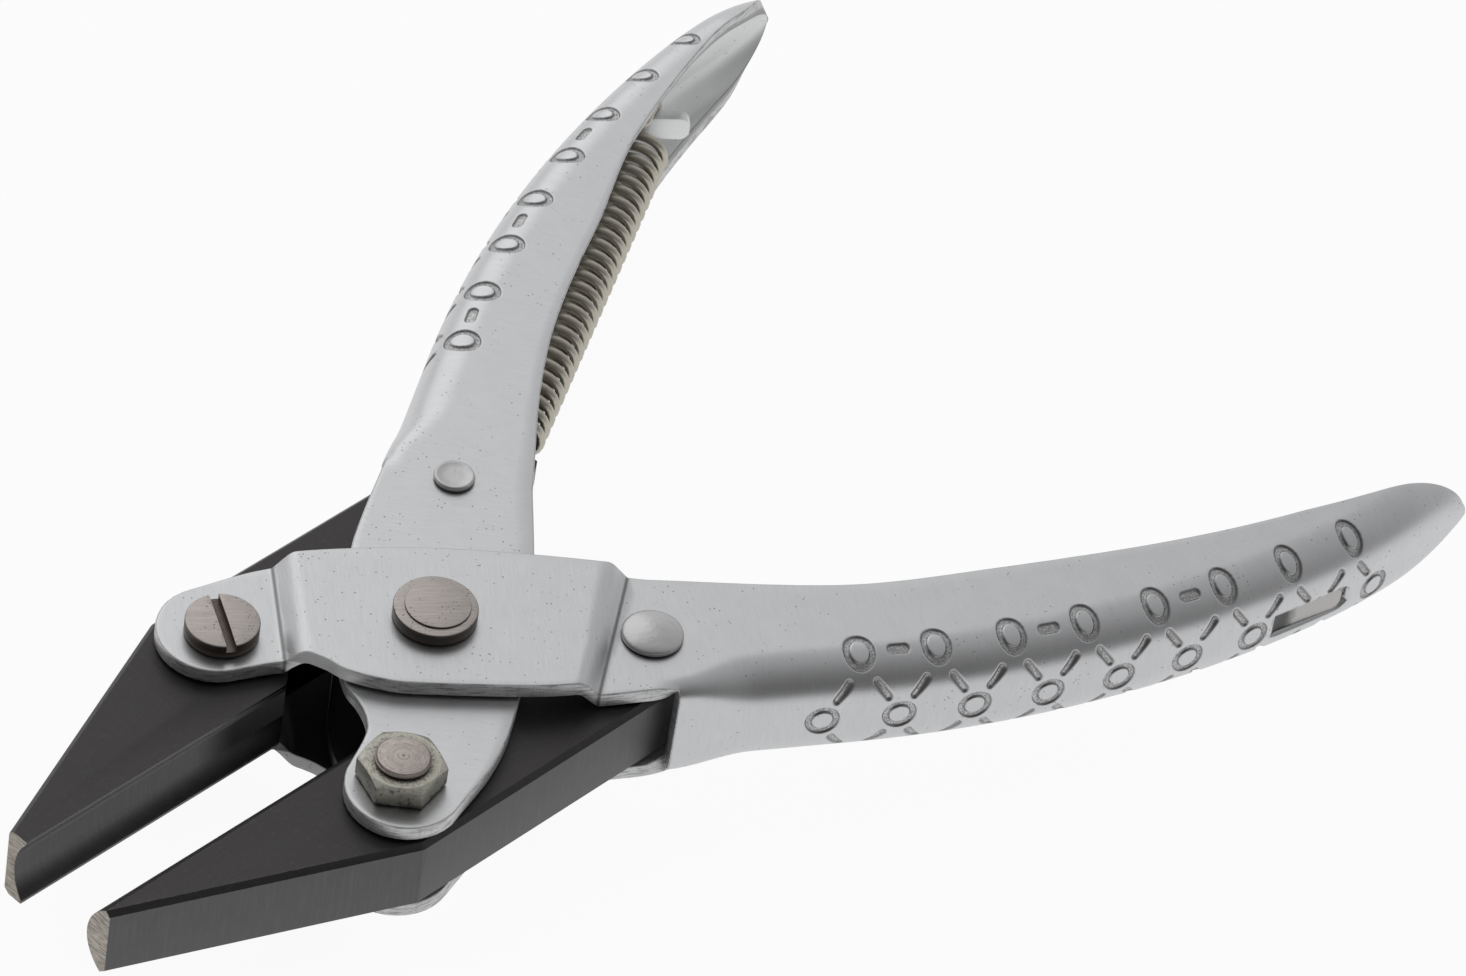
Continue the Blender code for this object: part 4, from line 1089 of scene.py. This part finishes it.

# %% [markdown]
# ## Black steel of the jaws
# The jaws are milled and ground steel with a black oxide skin. The skin is thin, so it is rubbed off along
# the edges, and the tips were ground back after blackening, which leaves bare steel with fine lines. Upright
# faces are painted lighter than level ones as painted light, and the faces in the gap near the pivot are
# painted black as painted shade.

# %% Black steel of the jaws
TIP = -44.44
black_finish = Finish("black_oxide")
spot = black_finish.place
mottle = spot.noise(0.5, 5.0, 0.6)
rub = spot.stretched((1.0, 0.3, 1.0)).noise(3.0, 4.0, 0.7)
mill = spot.stretched((0.25, 7.0, 0.25)).noise(1.0, 3.0, 0.6)
tip = 1.0 - spot.axis(1).ramp(TIP - 0.03, TIP + 0.04)
flank = 1.0 - black_finish.level().ramp(0.2, 0.5)
# Painted shade on the jaws' upright faces in the gap near the pivot.
jaw_cavity_shade = flank * spot.axis(1).ramp(-24.0, -18.0) * (1.0 - spot.axis(0).away().ramp(9.5, 12.5))
skin = mottle.mix((0.056, 0.052, 0.052), (0.074, 0.071, 0.071))
# Painted light: upright faces are painted lighter than level ones.
skin = flank.mix(skin, mottle.mix((0.085, 0.085, 0.086), (0.125, 0.126, 0.127)))
skin = (rub.ramp(0.52, 0.75) * 0.25).mix(skin, (0.13, 0.128, 0.126))
skin = (mill.ramp(0.45, 0.75) * (0.06 + flank * 0.26)).mix(skin, (0.16, 0.16, 0.16))
# Painted shade in the gap between the jaws.
skin = (jaw_cavity_shade * 0.9).mix(skin, (0.008, 0.008, 0.008))
bare_lines = spot.stretched((0.9, 1.0, 8.0), (0.0, 0.25, 0.0)).noise(1.0, 4.0, 0.7).ramp(0.32, 0.68)
bare = bare_lines.mix((0.17, 0.15, 0.13), (0.50, 0.46, 0.41))
black_finish.set(
    Base_Color=tip.mix(skin, bare),
    Roughness=0.36 + mottle * 0.16 + rub * 0.06,
)
black_finish.bump(mill * 0.3 + mottle * 0.4 + bare_lines * tip, 0.015)

edge_finish = Finish("rubbed_edge")
spot = edge_finish.place
worn = spot.noise(1.6, 4.0, 0.65).ramp(0.35, 0.62) * (1.0 - spot.axis(1).ramp(-26.0, -18.0))
edge_finish.set(
    Base_Color=worn.mix((0.04, 0.039, 0.038), (0.34, 0.33, 0.32)),
    Roughness=0.30 + worn * 0.1,
)
print("finishes", black_finish.material.name, edge_finish.material.name)

# %% [markdown]
# ## Jaws
# The CAD jaws have the right faces already. A copy is merged into clean faces and its long edges get a
# narrow rounding, which is where the black is rubbed off.


# %% Jaws
def clean_copy(node):
    """A merged copy of a CAD node in flat faces."""
    bm = bmesh.new()
    bm.from_mesh(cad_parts[node].data)
    bmesh.ops.remove_doubles(bm, verts=bm.verts, dist=1e-6)
    bmesh.ops.dissolve_limit(
        bm, angle_limit=math.radians(0.6), verts=bm.verts, edges=bm.edges, use_dissolve_boundaries=False
    )
    return bm


def round_edges(bm, width, angle, least):
    """Rounds the edges that are longer than least, in mm, and marks their faces with the second finish."""
    bmesh.ops.recalc_face_normals(bm, faces=bm.faces)
    sharp = [e for e in bm.edges if e.is_manifold and e.calc_face_angle() > math.radians(angle)]
    sharp = [e for e in sharp if e.calc_length() > least * MM]
    for face in soften(bm, sharp, width * MM):
        face.material_index = 1
    return len(sharp)


for side in ("left", "right"):
    bm = clean_copy(side + "_jaw")
    count = round_edges(bm, width=0.1, angle=28, least=0.9)
    print(side, "jaw: rounded edges", count)
    finishes = [black_finish, edge_finish]
    show(side + "_jaw_black", bm, side + "_jaw", [side + "_jaw"], finishes, 24)

# %% [markdown]
# ## Pin steel
# The pivot and the jaw screws are turned on a lathe, which leaves fine rings on their sides. The flat tops
# were ground with straight lines along the handle. The riveted-over ends of the jaw screws show rings round
# their own axis, so the finish asks for the distance from the nearer one. The upright sides and the floors
# of the screw slots are painted dark as painted shade. One finish with masks by place serves all of them.

# %% Pin steel
SEAT_GAP = 0.2
SEAT = CHEEK_TOP + SEAT_GAP
HEAD = SEAT + LIFT


def screw_distance(place):
    """Distance in mm from the nearer jaw screw's axis."""
    aside = place.axis(0).away() - SCREW.x
    along = place.axis(1) + SCREW.y
    return aside.sum("SQRT", aside * aside + along * along)


pin_finish = Finish("turned_pin_steel")
spot = pin_finish.place
rings = spot.stretched((0.25, 0.25, 9.0)).noise(1.0, 3.0, 0.6)
along_handle = spot.stretched((1.0, 1.0, 1.0), (0.0, 0.0, -0.5 * math.pi + HALF_ANGLE))
ground = along_handle.stretched((0.35, 9.0, 0.6)).noise(1.0, 4.0, 0.65)
stain = spot.noise(0.8, 4.0, 0.6)
dots = 1.0 - spot.spots(2.6).ramp(0.08, 0.24)
dots = dots * spot.noise(0.5, 2.0).ramp(0.42, 0.54)
up = pin_finish.level().ramp(0.55, 0.85)
off_middle = (spot.axis(2) - MID).away()
# Painted shade on the floor of the screw slots.
in_slot_floor = off_middle.ramp(6.1, 6.25) * (1.0 - off_middle.ramp(6.6, 6.85))
tone = stain.mix((0.31, 0.28, 0.265), (0.41, 0.375, 0.357))
tone = (ground.ramp(0.35, 0.7) * up * 0.6).mix(tone, (0.50, 0.462, 0.443))
# Painted shade: upright sides are painted dark.
tone = ((1.0 - up) * 0.92).mix(tone, (0.09, 0.078, 0.07))
tone = (rings.ramp(0.45, 0.7) * (1.0 - up) * 0.7).mix(tone, (0.08, 0.07, 0.062))
tone = (in_slot_floor * 0.85).mix(tone, (0.07, 0.055, 0.045))
tone = (dots * 0.8).mix(tone, (0.07, 0.06, 0.055))
from_screw = screw_distance(spot)
bolt_end = off_middle.ramp(7.8, 7.9) * (1.0 - from_screw.ramp(2.6, 2.8))
turned = from_screw.node("ShaderNodeCombineXYZ", None, {0: from_screw, 1: stain * 1.6}).noise(5.0, 4.0, 0.65)
tone = (bolt_end * 0.8).mix(tone, turned.ramp(0.25, 0.75).mix((0.27, 0.235, 0.212), (0.53, 0.475, 0.44)))
tone = (bolt_end * from_screw.ramp(2.2, 2.45) * 0.6).mix(tone, (0.10, 0.08, 0.07))
tone = (bolt_end * (1.0 - from_screw.ramp(0.08, 0.2)) * 0.6).mix(tone, (0.10, 0.08, 0.07))
pin_finish.set(Base_Color=tone, Roughness=0.34 + stain * 0.1 - ground * 0.06)
relief = ground * up * (1.0 - bolt_end) + turned * bolt_end * 0.7
pin_finish.bump(relief + rings * (1.0 - up) - dots * 1.5, 0.015)
print("finish", pin_finish.material.name)

# %% [markdown]
# ## Nut zinc
# The nuts are zinc-plated, warmer in tone than the sheet. Dirt sits round the bolt. The flats are painted
# dark as painted shade, with patches of dirt over it, and the nut is darker in patches along its foot. Their
# rounded edges are worn, so those faces have a finish of their own.

# %% Nut zinc
nut_finish = Finish("zinc_nut")
spot = nut_finish.place
stain = spot.noise(0.9, 5.0, 0.65)
grime = spot.noise(1.8, 4.0, 0.6).ramp(0.52, 0.68)
dots = (1.0 - spot.spots(1.5).ramp(0.08, 0.2)) * spot.noise(0.6, 2.0).ramp(0.45, 0.6)
side_wall = 1.0 - nut_finish.level().ramp(0.2, 0.6)
tone = stain.mix((0.43, 0.42, 0.36), (0.58, 0.565, 0.50))
tone = (grime * 0.4).mix(tone, (0.21, 0.20, 0.17))
speck = spot.noise(5.0, 3.0, 0.7).ramp(0.50, 0.62)
round_bolt = 1.0 - screw_distance(spot).ramp(2.5, 3.3)
# Painted shade on the flats, with patches of dirt over it.
tone = (side_wall * (0.48 + grime * 0.40)).mix(tone, (0.10, 0.098, 0.085))
tone = (round_bolt * 0.4).mix(tone, (0.12, 0.11, 0.09))
tone = (speck * (0.15 + round_bolt * 0.7)).mix(tone, (0.07, 0.06, 0.05))
# Darker in patches along the foot.
foot = 1.0 - (spot.axis(2) - MID).away().ramp(SEAT, SEAT + 0.55)
tone = (foot * spot.noise(1.5, 3.0).ramp(0.35, 0.55) * 0.75).mix(tone, (0.05, 0.046, 0.04))
tone = (dots * 0.7).mix(tone, (0.10, 0.095, 0.08))
nut_finish.set(Base_Color=tone, Roughness=0.36 + stain * 0.14 + grime * 0.08)
nut_finish.bump(stain * 0.8 - dots * 1.2 - grime * 0.4 - speck * 0.5, 0.02)

worn_zinc = Finish("worn_zinc")
polish = worn_zinc.place.noise(2.5, 4.0, 0.6).ramp(0.35, 0.65)
worn_zinc.set(Base_Color=polish.mix((0.10, 0.095, 0.08), (0.60, 0.58, 0.52)), Roughness=0.34)
print("finishes", nut_finish.material.name, worn_zinc.material.name)

# %% [markdown]
# ## Rivet steel
# The guide rivets are plain bright steel, set by hand. A slow noise in the bump gives their heads the small
# dents that make the light on them uneven.

# %% Rivet steel
rivet_finish = Finish("rivet_steel_set")
spot = rivet_finish.place
stain = spot.noise(0.7, 4.0, 0.6)
fine = spot.stretched((3.0, 3.0, 3.0)).noise(1.0, 3.0, 0.6)
tone = stain.mix((0.45, 0.45, 0.455), (0.56, 0.56, 0.565))
tone = (fine.ramp(0.55, 0.75) * 0.3).mix(tone, (0.28, 0.275, 0.27))
rivet_finish.set(Base_Color=tone, Roughness=0.28 + stain * 0.12)
dents = spot.noise(0.8, 2.0)
rivet_finish.bump(fine + dents * 4.0, 0.012)
print("finish", rivet_finish.material.name)

# %% [markdown]
# ## Lathe work
# A turned piece is a profile of (radius, height) points, spun round its axis. A screw modifier could do the
# same, but the mesh is needed at once, to be cut and set down. Sharp corners of a profile get a small
# quarter round, and pieces that are fitted from below are turned over.


# %% Lathe work
def spin(profile, steps=96):
    """A solid of revolution from (radius, height) points in mm, from axis to axis or closed to a ring."""
    bm = bmesh.new()
    points = [bm.verts.new((radius, 0.0, height)) for radius, height in profile]
    edges = [bm.edges.new(pair) for pair in zip(points, points[1:])]
    bmesh.ops.spin(
        bm, geom=points + edges, axis=(0.0, 0.0, 1.0), cent=(0.0, 0.0, 0.0), angle=2.0 * math.pi,
        steps=steps, use_merge=True,
    )
    bmesh.ops.remove_doubles(bm, verts=bm.verts, dist=1e-5)
    return bm


def quarter(radius, height, soft, down=False, steps=4):
    """Points that round a profile's corner at (radius, height), from the top to the side."""
    way = -1.0 if down else 1.0
    turns = [0.5 * math.pi * k / steps for k in range(steps + 1)]
    return [(radius - soft * (1 - math.sin(t)), height - way * soft * (1 - math.cos(t))) for t in turns]


def set_down(bm, place, over=False):
    """Turns the piece over where it is fitted from below, and puts it on its place in the frame."""
    if over:
        bmesh.ops.rotate(bm, verts=bm.verts, cent=(0, 0, 0), matrix=Matrix.Rotation(math.pi, 3, "Y"))
    at = Matrix.Scale(MM, 4) @ Matrix.Translation((place[0], place[1], MID))
    bmesh.ops.transform(bm, matrix=at, verts=bm.verts)
    return bm


print("points of a rounded corner:", len(quarter(1.0, 1.0, 0.1)))

# %% [markdown]
# ## Pivot
# The pivot is one pin with a head below. On top a collar lies round its riveted-over end, which stands a
# little out of the collar's middle, as hand work does.

# %% Pivot
PIVOT_TOP, PIVOT_NECK, COLLAR_TOP = HEAD + 1.3, HEAD + 1.14, HEAD + 1.12
PIVOT_RADIUS, SHANK_RADIUS, COLLAR_BORE, COLLAR_RADIUS = 3.0, 2.5, 2.65, 3.83
OUT_OF_MIDDLE = (0.05, 0.22, 0.0)

profile = [(0.0, PIVOT_TOP)] + quarter(PIVOT_RADIUS, PIVOT_TOP, 0.1)
profile += [(PIVOT_RADIUS, PIVOT_NECK), (SHANK_RADIUS, PIVOT_NECK)]
profile += [(SHANK_RADIUS, -HEAD), (COLLAR_RADIUS, -HEAD)]
profile += quarter(COLLAR_RADIUS, -PIVOT_TOP, 0.22, True)[::-1] + [(0.0, -PIVOT_TOP)]
bm = spin(profile)
riveted = [vert for vert in bm.verts if vert.co.z > HEAD + 1.0]
bmesh.ops.translate(bm, verts=riveted, vec=OUT_OF_MIDDLE)
show("pivot_pin_turned", set_down(bm, (0, 0)), "right_handle", ["pivot_pin"], [pin_finish], 35)

profile = [(COLLAR_BORE, HEAD), (COLLAR_RADIUS, HEAD)] + quarter(COLLAR_RADIUS, COLLAR_TOP, 0.16)[::-1]
profile += [(COLLAR_BORE, COLLAR_TOP), (COLLAR_BORE, HEAD)]
bm = set_down(spin(profile), (0, 0))
show("pivot_collar_ring", bm, "right_handle", ["pivot_collar"], [pin_finish], 35)

# %% [markdown]
# ## Jaw screws
# A jaw screw has a low head with a slot and a plain end that was riveted over its nut. The slot is cut with
# a box, for its flat walls meet the round head in a curve that no grid has. Then its edges are softened a
# little.

# %% Jaw screws
NUT_HEIGHT, SCREW_TOP = 2.2, SEAT + 1.38
NUT_TOP = SEAT + NUT_HEIGHT + SEAT_GAP
BOLT_TOP = NUT_TOP + 0.4
SCREW_HEAD, BOLT_RADIUS, BOLT_END = 3.38, 2.0, 2.52
SCREW_SLOT = (9.0, 0.9, 1.5)
SLOT_TURN = Matrix.Rotation(math.radians(-29.0), 3, "Z")


def carve(bm, tool):
    """The piece without the tool's volume."""
    objects = []
    for label, part in (("blank", bm), ("cutter", tool)):
        bmesh.ops.recalc_face_normals(part, faces=part.faces)
        mesh = bpy.data.meshes.new(label)
        part.to_mesh(mesh)
        part.free()
        objects.append(bpy.data.objects.new(label, mesh))
        scene.collection.objects.link(objects[-1])
    change = objects[0].modifiers.new("cut", "BOOLEAN")
    change.operation = "DIFFERENCE"
    change.solver = "EXACT"
    change.object = objects[1]
    carved = bmesh.new()
    carved.from_mesh(evaluated_mesh(objects[0]))
    for made in objects:
        bpy.data.objects.remove(made)
    return carved


def slotted_screw(name, place, over, body, node):
    profile = [(0.0, SCREW_TOP), (1.6, SCREW_TOP - 0.015)] + quarter(SCREW_HEAD, SCREW_TOP - 0.05, 0.17)
    profile += [(SCREW_HEAD, SEAT), (BOLT_RADIUS, SEAT), (BOLT_RADIUS, -NUT_TOP), (BOLT_END, -NUT_TOP)]
    profile += [(BOLT_END, -NUT_TOP - 0.12), (BOLT_END - 0.14, -NUT_TOP - 0.17)]
    profile += quarter(BOLT_END - 0.18, -BOLT_TOP, 0.12, True)[::-1] + [(0.0, -BOLT_TOP)]
    slot = bmesh.new()
    bmesh.ops.create_cube(slot, size=1.0)
    bmesh.ops.scale(slot, verts=slot.verts, vec=SCREW_SLOT)
    bmesh.ops.translate(slot, verts=slot.verts, vec=(0.0, 0.0, SCREW_TOP))
    bmesh.ops.rotate(slot, verts=slot.verts, cent=(0, 0, 0), matrix=SLOT_TURN)
    bm = carve(spin(profile), slot)
    edges = [e for e in bm.edges if e.is_manifold and e.calc_face_angle() > 0.9 and e.calc_length() > 0.3]
    soften(bm, [e for e in edges if min(v.co.z for v in e.verts) > SCREW_TOP - 0.3], 0.05)
    return show(name, set_down(bm, place, over), body, [node], [pin_finish], 35)


slotted_screw("left_jaw_screw_turned", (-SCREW.x, -SCREW.y), False, "right_handle", "left_jaw_screw")
slotted_screw("right_jaw_screw_turned", (SCREW.x, -SCREW.y), True, "left_handle", "right_jaw_screw")

# %% [markdown]
# ## Nuts
# The CAD nuts have the right form. Like the jaws they are copied and get rounded edges, with the worn
# finish.

# %% Nuts
for side, body in (("left", "right_handle"), ("right", "left_handle")):
    bm = clean_copy(side + "_jaw_nut")
    count = round_edges(bm, width=0.09, angle=28, least=0.5)
    print(side, "nut: rounded edges", count)
    show(side + "_jaw_nut_hex", bm, body, [side + "_jaw_nut"], [nut_finish, worn_zinc], 24)

# %% [markdown]
# ## Rivets
# A guide rivet has a low dome with a rolled rim on one side, and on the other a small end with a shallow
# dish, where the set was struck. Both are lathe profiles, so no cutting is needed.

# %% Rivets
DOME_RADIUS, DOME_TURN, DOME_STEPS = 2.4, 0.44 * math.pi, 8
DOME_TOP, SHOULDER = SEAT + 0.98, SEAT + 0.48
RIM = [(2.62, -0.02), (2.76, -0.12), (2.82, -0.28)]
RIVET_HEAD, RIVET_SHANK = 2.80, 1.5
DISH = [(1.86, 0.0), (1.91, 0.12), (1.80, 0.36), (1.66, 0.40), (1.50, 0.33), (0.8, 0.31), (0.0, 0.31)]


def set_rivet(name, place, over, body, node):
    shares = [k / DOME_STEPS for k in range(DOME_STEPS + 1)]
    rise = DOME_TOP - SHOULDER
    profile = [(DOME_RADIUS * k, SHOULDER + rise * math.cos(DOME_TURN * k)) for k in shares]
    profile += [(radius, SHOULDER + height) for radius, height in RIM]
    profile += [(RIVET_HEAD, SEAT), (RIVET_SHANK, SEAT), (RIVET_SHANK, -SEAT)]
    profile += [(radius, -SEAT - deep) for radius, deep in DISH]
    bm = set_down(spin(profile, 72), place, over)
    return show(name, bm, body, [node], [rivet_finish], 50)


set_rivet("left_handle_rivet_set", (-RIVET.x, RIVET.y), True, "left_handle", "left_handle_rivet")
set_rivet("right_handle_rivet_set", (RIVET.x, RIVET.y), False, "right_handle", "right_handle_rivet")

# %% [markdown]
# ## Return spring
# A close coil of hard wire lies in the left handle's channel and pulls the handles open. Its rear hook
# holds on the bent-in tongue and its front hook in the jaw's tail, and those two places give the spring's
# axis and length. The wire is drawn steel, a little warm in tone.

# %% Spring wire and its place
spring_finish = Finish("spring_wire")
spot = spring_finish.place
drawn = spot.noise(2.5, 4.0, 0.6)
tone = drawn.mix((0.38, 0.358, 0.305), (0.56, 0.53, 0.46))
spring_finish.set(Base_Color=tone, Roughness=0.30 + drawn * 0.12)
spring_finish.bump(drawn, 0.01)

WIRE, COILS, PER_COIL, COIL = 0.9, 28, 24, 2.55
HOOK_PLAY, HOOK_REACH, HOOK_SLACK = 0.35, 4.6, 0.2
HOOK, HOOK_TURN = TAB_HALF + HOOK_PLAY + 0.5 * WIRE, math.radians(140)
FRONT_SHANK, REAR_SHANK = 3.3, 5.4
INNER_SHANK, SHANK_DROP = (0.6, 1.4, 3.0, 5.0, 7.5), 3.0
JAW_HOLE = Vector((-14.985, 23.637))


def tab_hook_place():
    """Where the rear hook lies behind the left handle's tongue, in the handle's own lines."""
    section = Section(TAB_START, -1)
    base = section.place + section.inward * 0.5 * SHEET
    out = section.along * math.cos(TAB_RISE) + section.inward * math.sin(TAB_RISE)
    rear = section.along * math.sin(TAB_RISE) - section.inward * math.cos(TAB_RISE)
    behind = 0.5 * SHEET + HOOK_PLAY + 0.5 * WIRE + HOOK - math.sqrt(HOOK**2 - TAB_HALF**2)
    spot = base + out * HOOK_REACH + rear * behind
    return Vector((-spot.x, spot.y))


hook_end = tab_hook_place()
hook_start = JAW_HOLE.copy()
hook_start.rotate(Matrix.Rotation(-HALF_ANGLE, 2))
spring_axis = (hook_end - hook_start).normalized()
hook_start = hook_start - spring_axis * HOOK_SLACK
spring_side = Vector((spring_axis.y, -spring_axis.x))
spring_long = (hook_end - hook_start).length
coil_first, coil_last = FRONT_SHANK, spring_long - REAR_SHANK
pitch = (coil_last - coil_first) / COILS
print("spring length between hooks:", round(spring_long, 2), "mm, pitch", round(pitch, 3), "mm")

# %% [markdown]
# ## Wire of the spring
# The wire is a curve with a round section, made a mesh. The coil with its rear hook is one piece and the
# front hook another, because they go different ways when the handles close.


# %% Wire of the spring
def spring_spot(along, across, height):
    """A place in the frame, from lengths along and across the spring's axis in mm."""
    spot = hook_start + spring_axis * along + spring_side * across
    spot.rotate(Matrix.Rotation(HALF_ANGLE, 2))
    return Vector((spot.x, spot.y, height + MID - TAB_DROP * along / spring_long)) * MM


def wire_piece(name, path):
    """A round wire along a path, as a mesh with its place in its points."""
    curve = bpy.data.curves.new(name, "CURVE")
    curve.dimensions = "3D"
    curve.bevel_depth = 0.5 * WIRE * MM
    curve.bevel_resolution = 3
    curve.use_fill_caps = True
    line = curve.splines.new("POLY")
    line.points.add(len(path) - 1)
    for point, place in zip(line.points, path):
        point.co = (*place, 1.0)
    holder = bpy.data.objects.new(name + "_line", curve)
    scene.collection.objects.link(holder)
    mesh = evaluated_mesh(holder)
    bpy.data.objects.remove(holder)
    made = bpy.data.objects.new(name, mesh)
    scene.collection.objects.link(made)
    mesh.polygons.foreach_set("use_smooth", [True] * len(mesh.polygons))
    mesh.materials.clear()
    mesh.materials.append(spring_finish.material)
    print(name, len(mesh.polygons), "faces along", len(path), "points")
    return made


path = []
for step in range(PER_COIL // 2, COILS * PER_COIL):
    angle = 2 * math.pi * step / PER_COIL
    along = coil_first + pitch * step / PER_COIL
    path.append(spring_spot(along, COIL * math.sin(angle), COIL * math.cos(angle)))
centre = spring_long - HOOK
gap = centre - coil_last
path.append(spring_spot(coil_last + 0.15 * gap, 0.0, COIL))
path.append(spring_spot(coil_last + 0.5 * gap, 0.0, 0.5 * (HOOK + COIL)))
for step in range(17):
    angle = HOOK_TURN * step / 16
    path.append(spring_spot(centre + HOOK * math.sin(angle), 0.0, HOOK * math.cos(angle)))
coil_piece = wire_piece("return_spring_coil", path)
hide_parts("return_spring")

path = []
for step in range(23):
    angle = HOOK_TURN - math.radians(10 * step)
    path.append(spring_spot(HOOK - HOOK * math.sin(angle), 0.0, HOOK * math.cos(angle)))
low = HOOK * math.cos(angle)
for far in INNER_SHANK:
    path.append(spring_spot(2 * HOOK + far, 0.0, low * max(0.0, 1 - far / SHANK_DROP)))
hook_piece = wire_piece("return_spring_front_hook", path)
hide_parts("return_spring")

# %% [markdown]
# ## The spring in the frame
# A rigid piece can't stretch. The coil is baked into its place in the frame, and a rear point and a front
# point on its axis are worked out. The front hook goes with the jaw, and its shank slides inside the coil.

# %% The spring in the frame
FOLLOW = 2.9
rear_point = spring_spot(coil_last, 0.0, 0.0)
front_point = spring_spot(coil_last - FOLLOW * (coil_last - coil_first), 0.0, 0.0)
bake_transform(coil_piece)
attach(hook_piece, "left_jaw")
print("the coil's front end follows", round(1 / FOLLOW, 2), "of the right handle's turn")
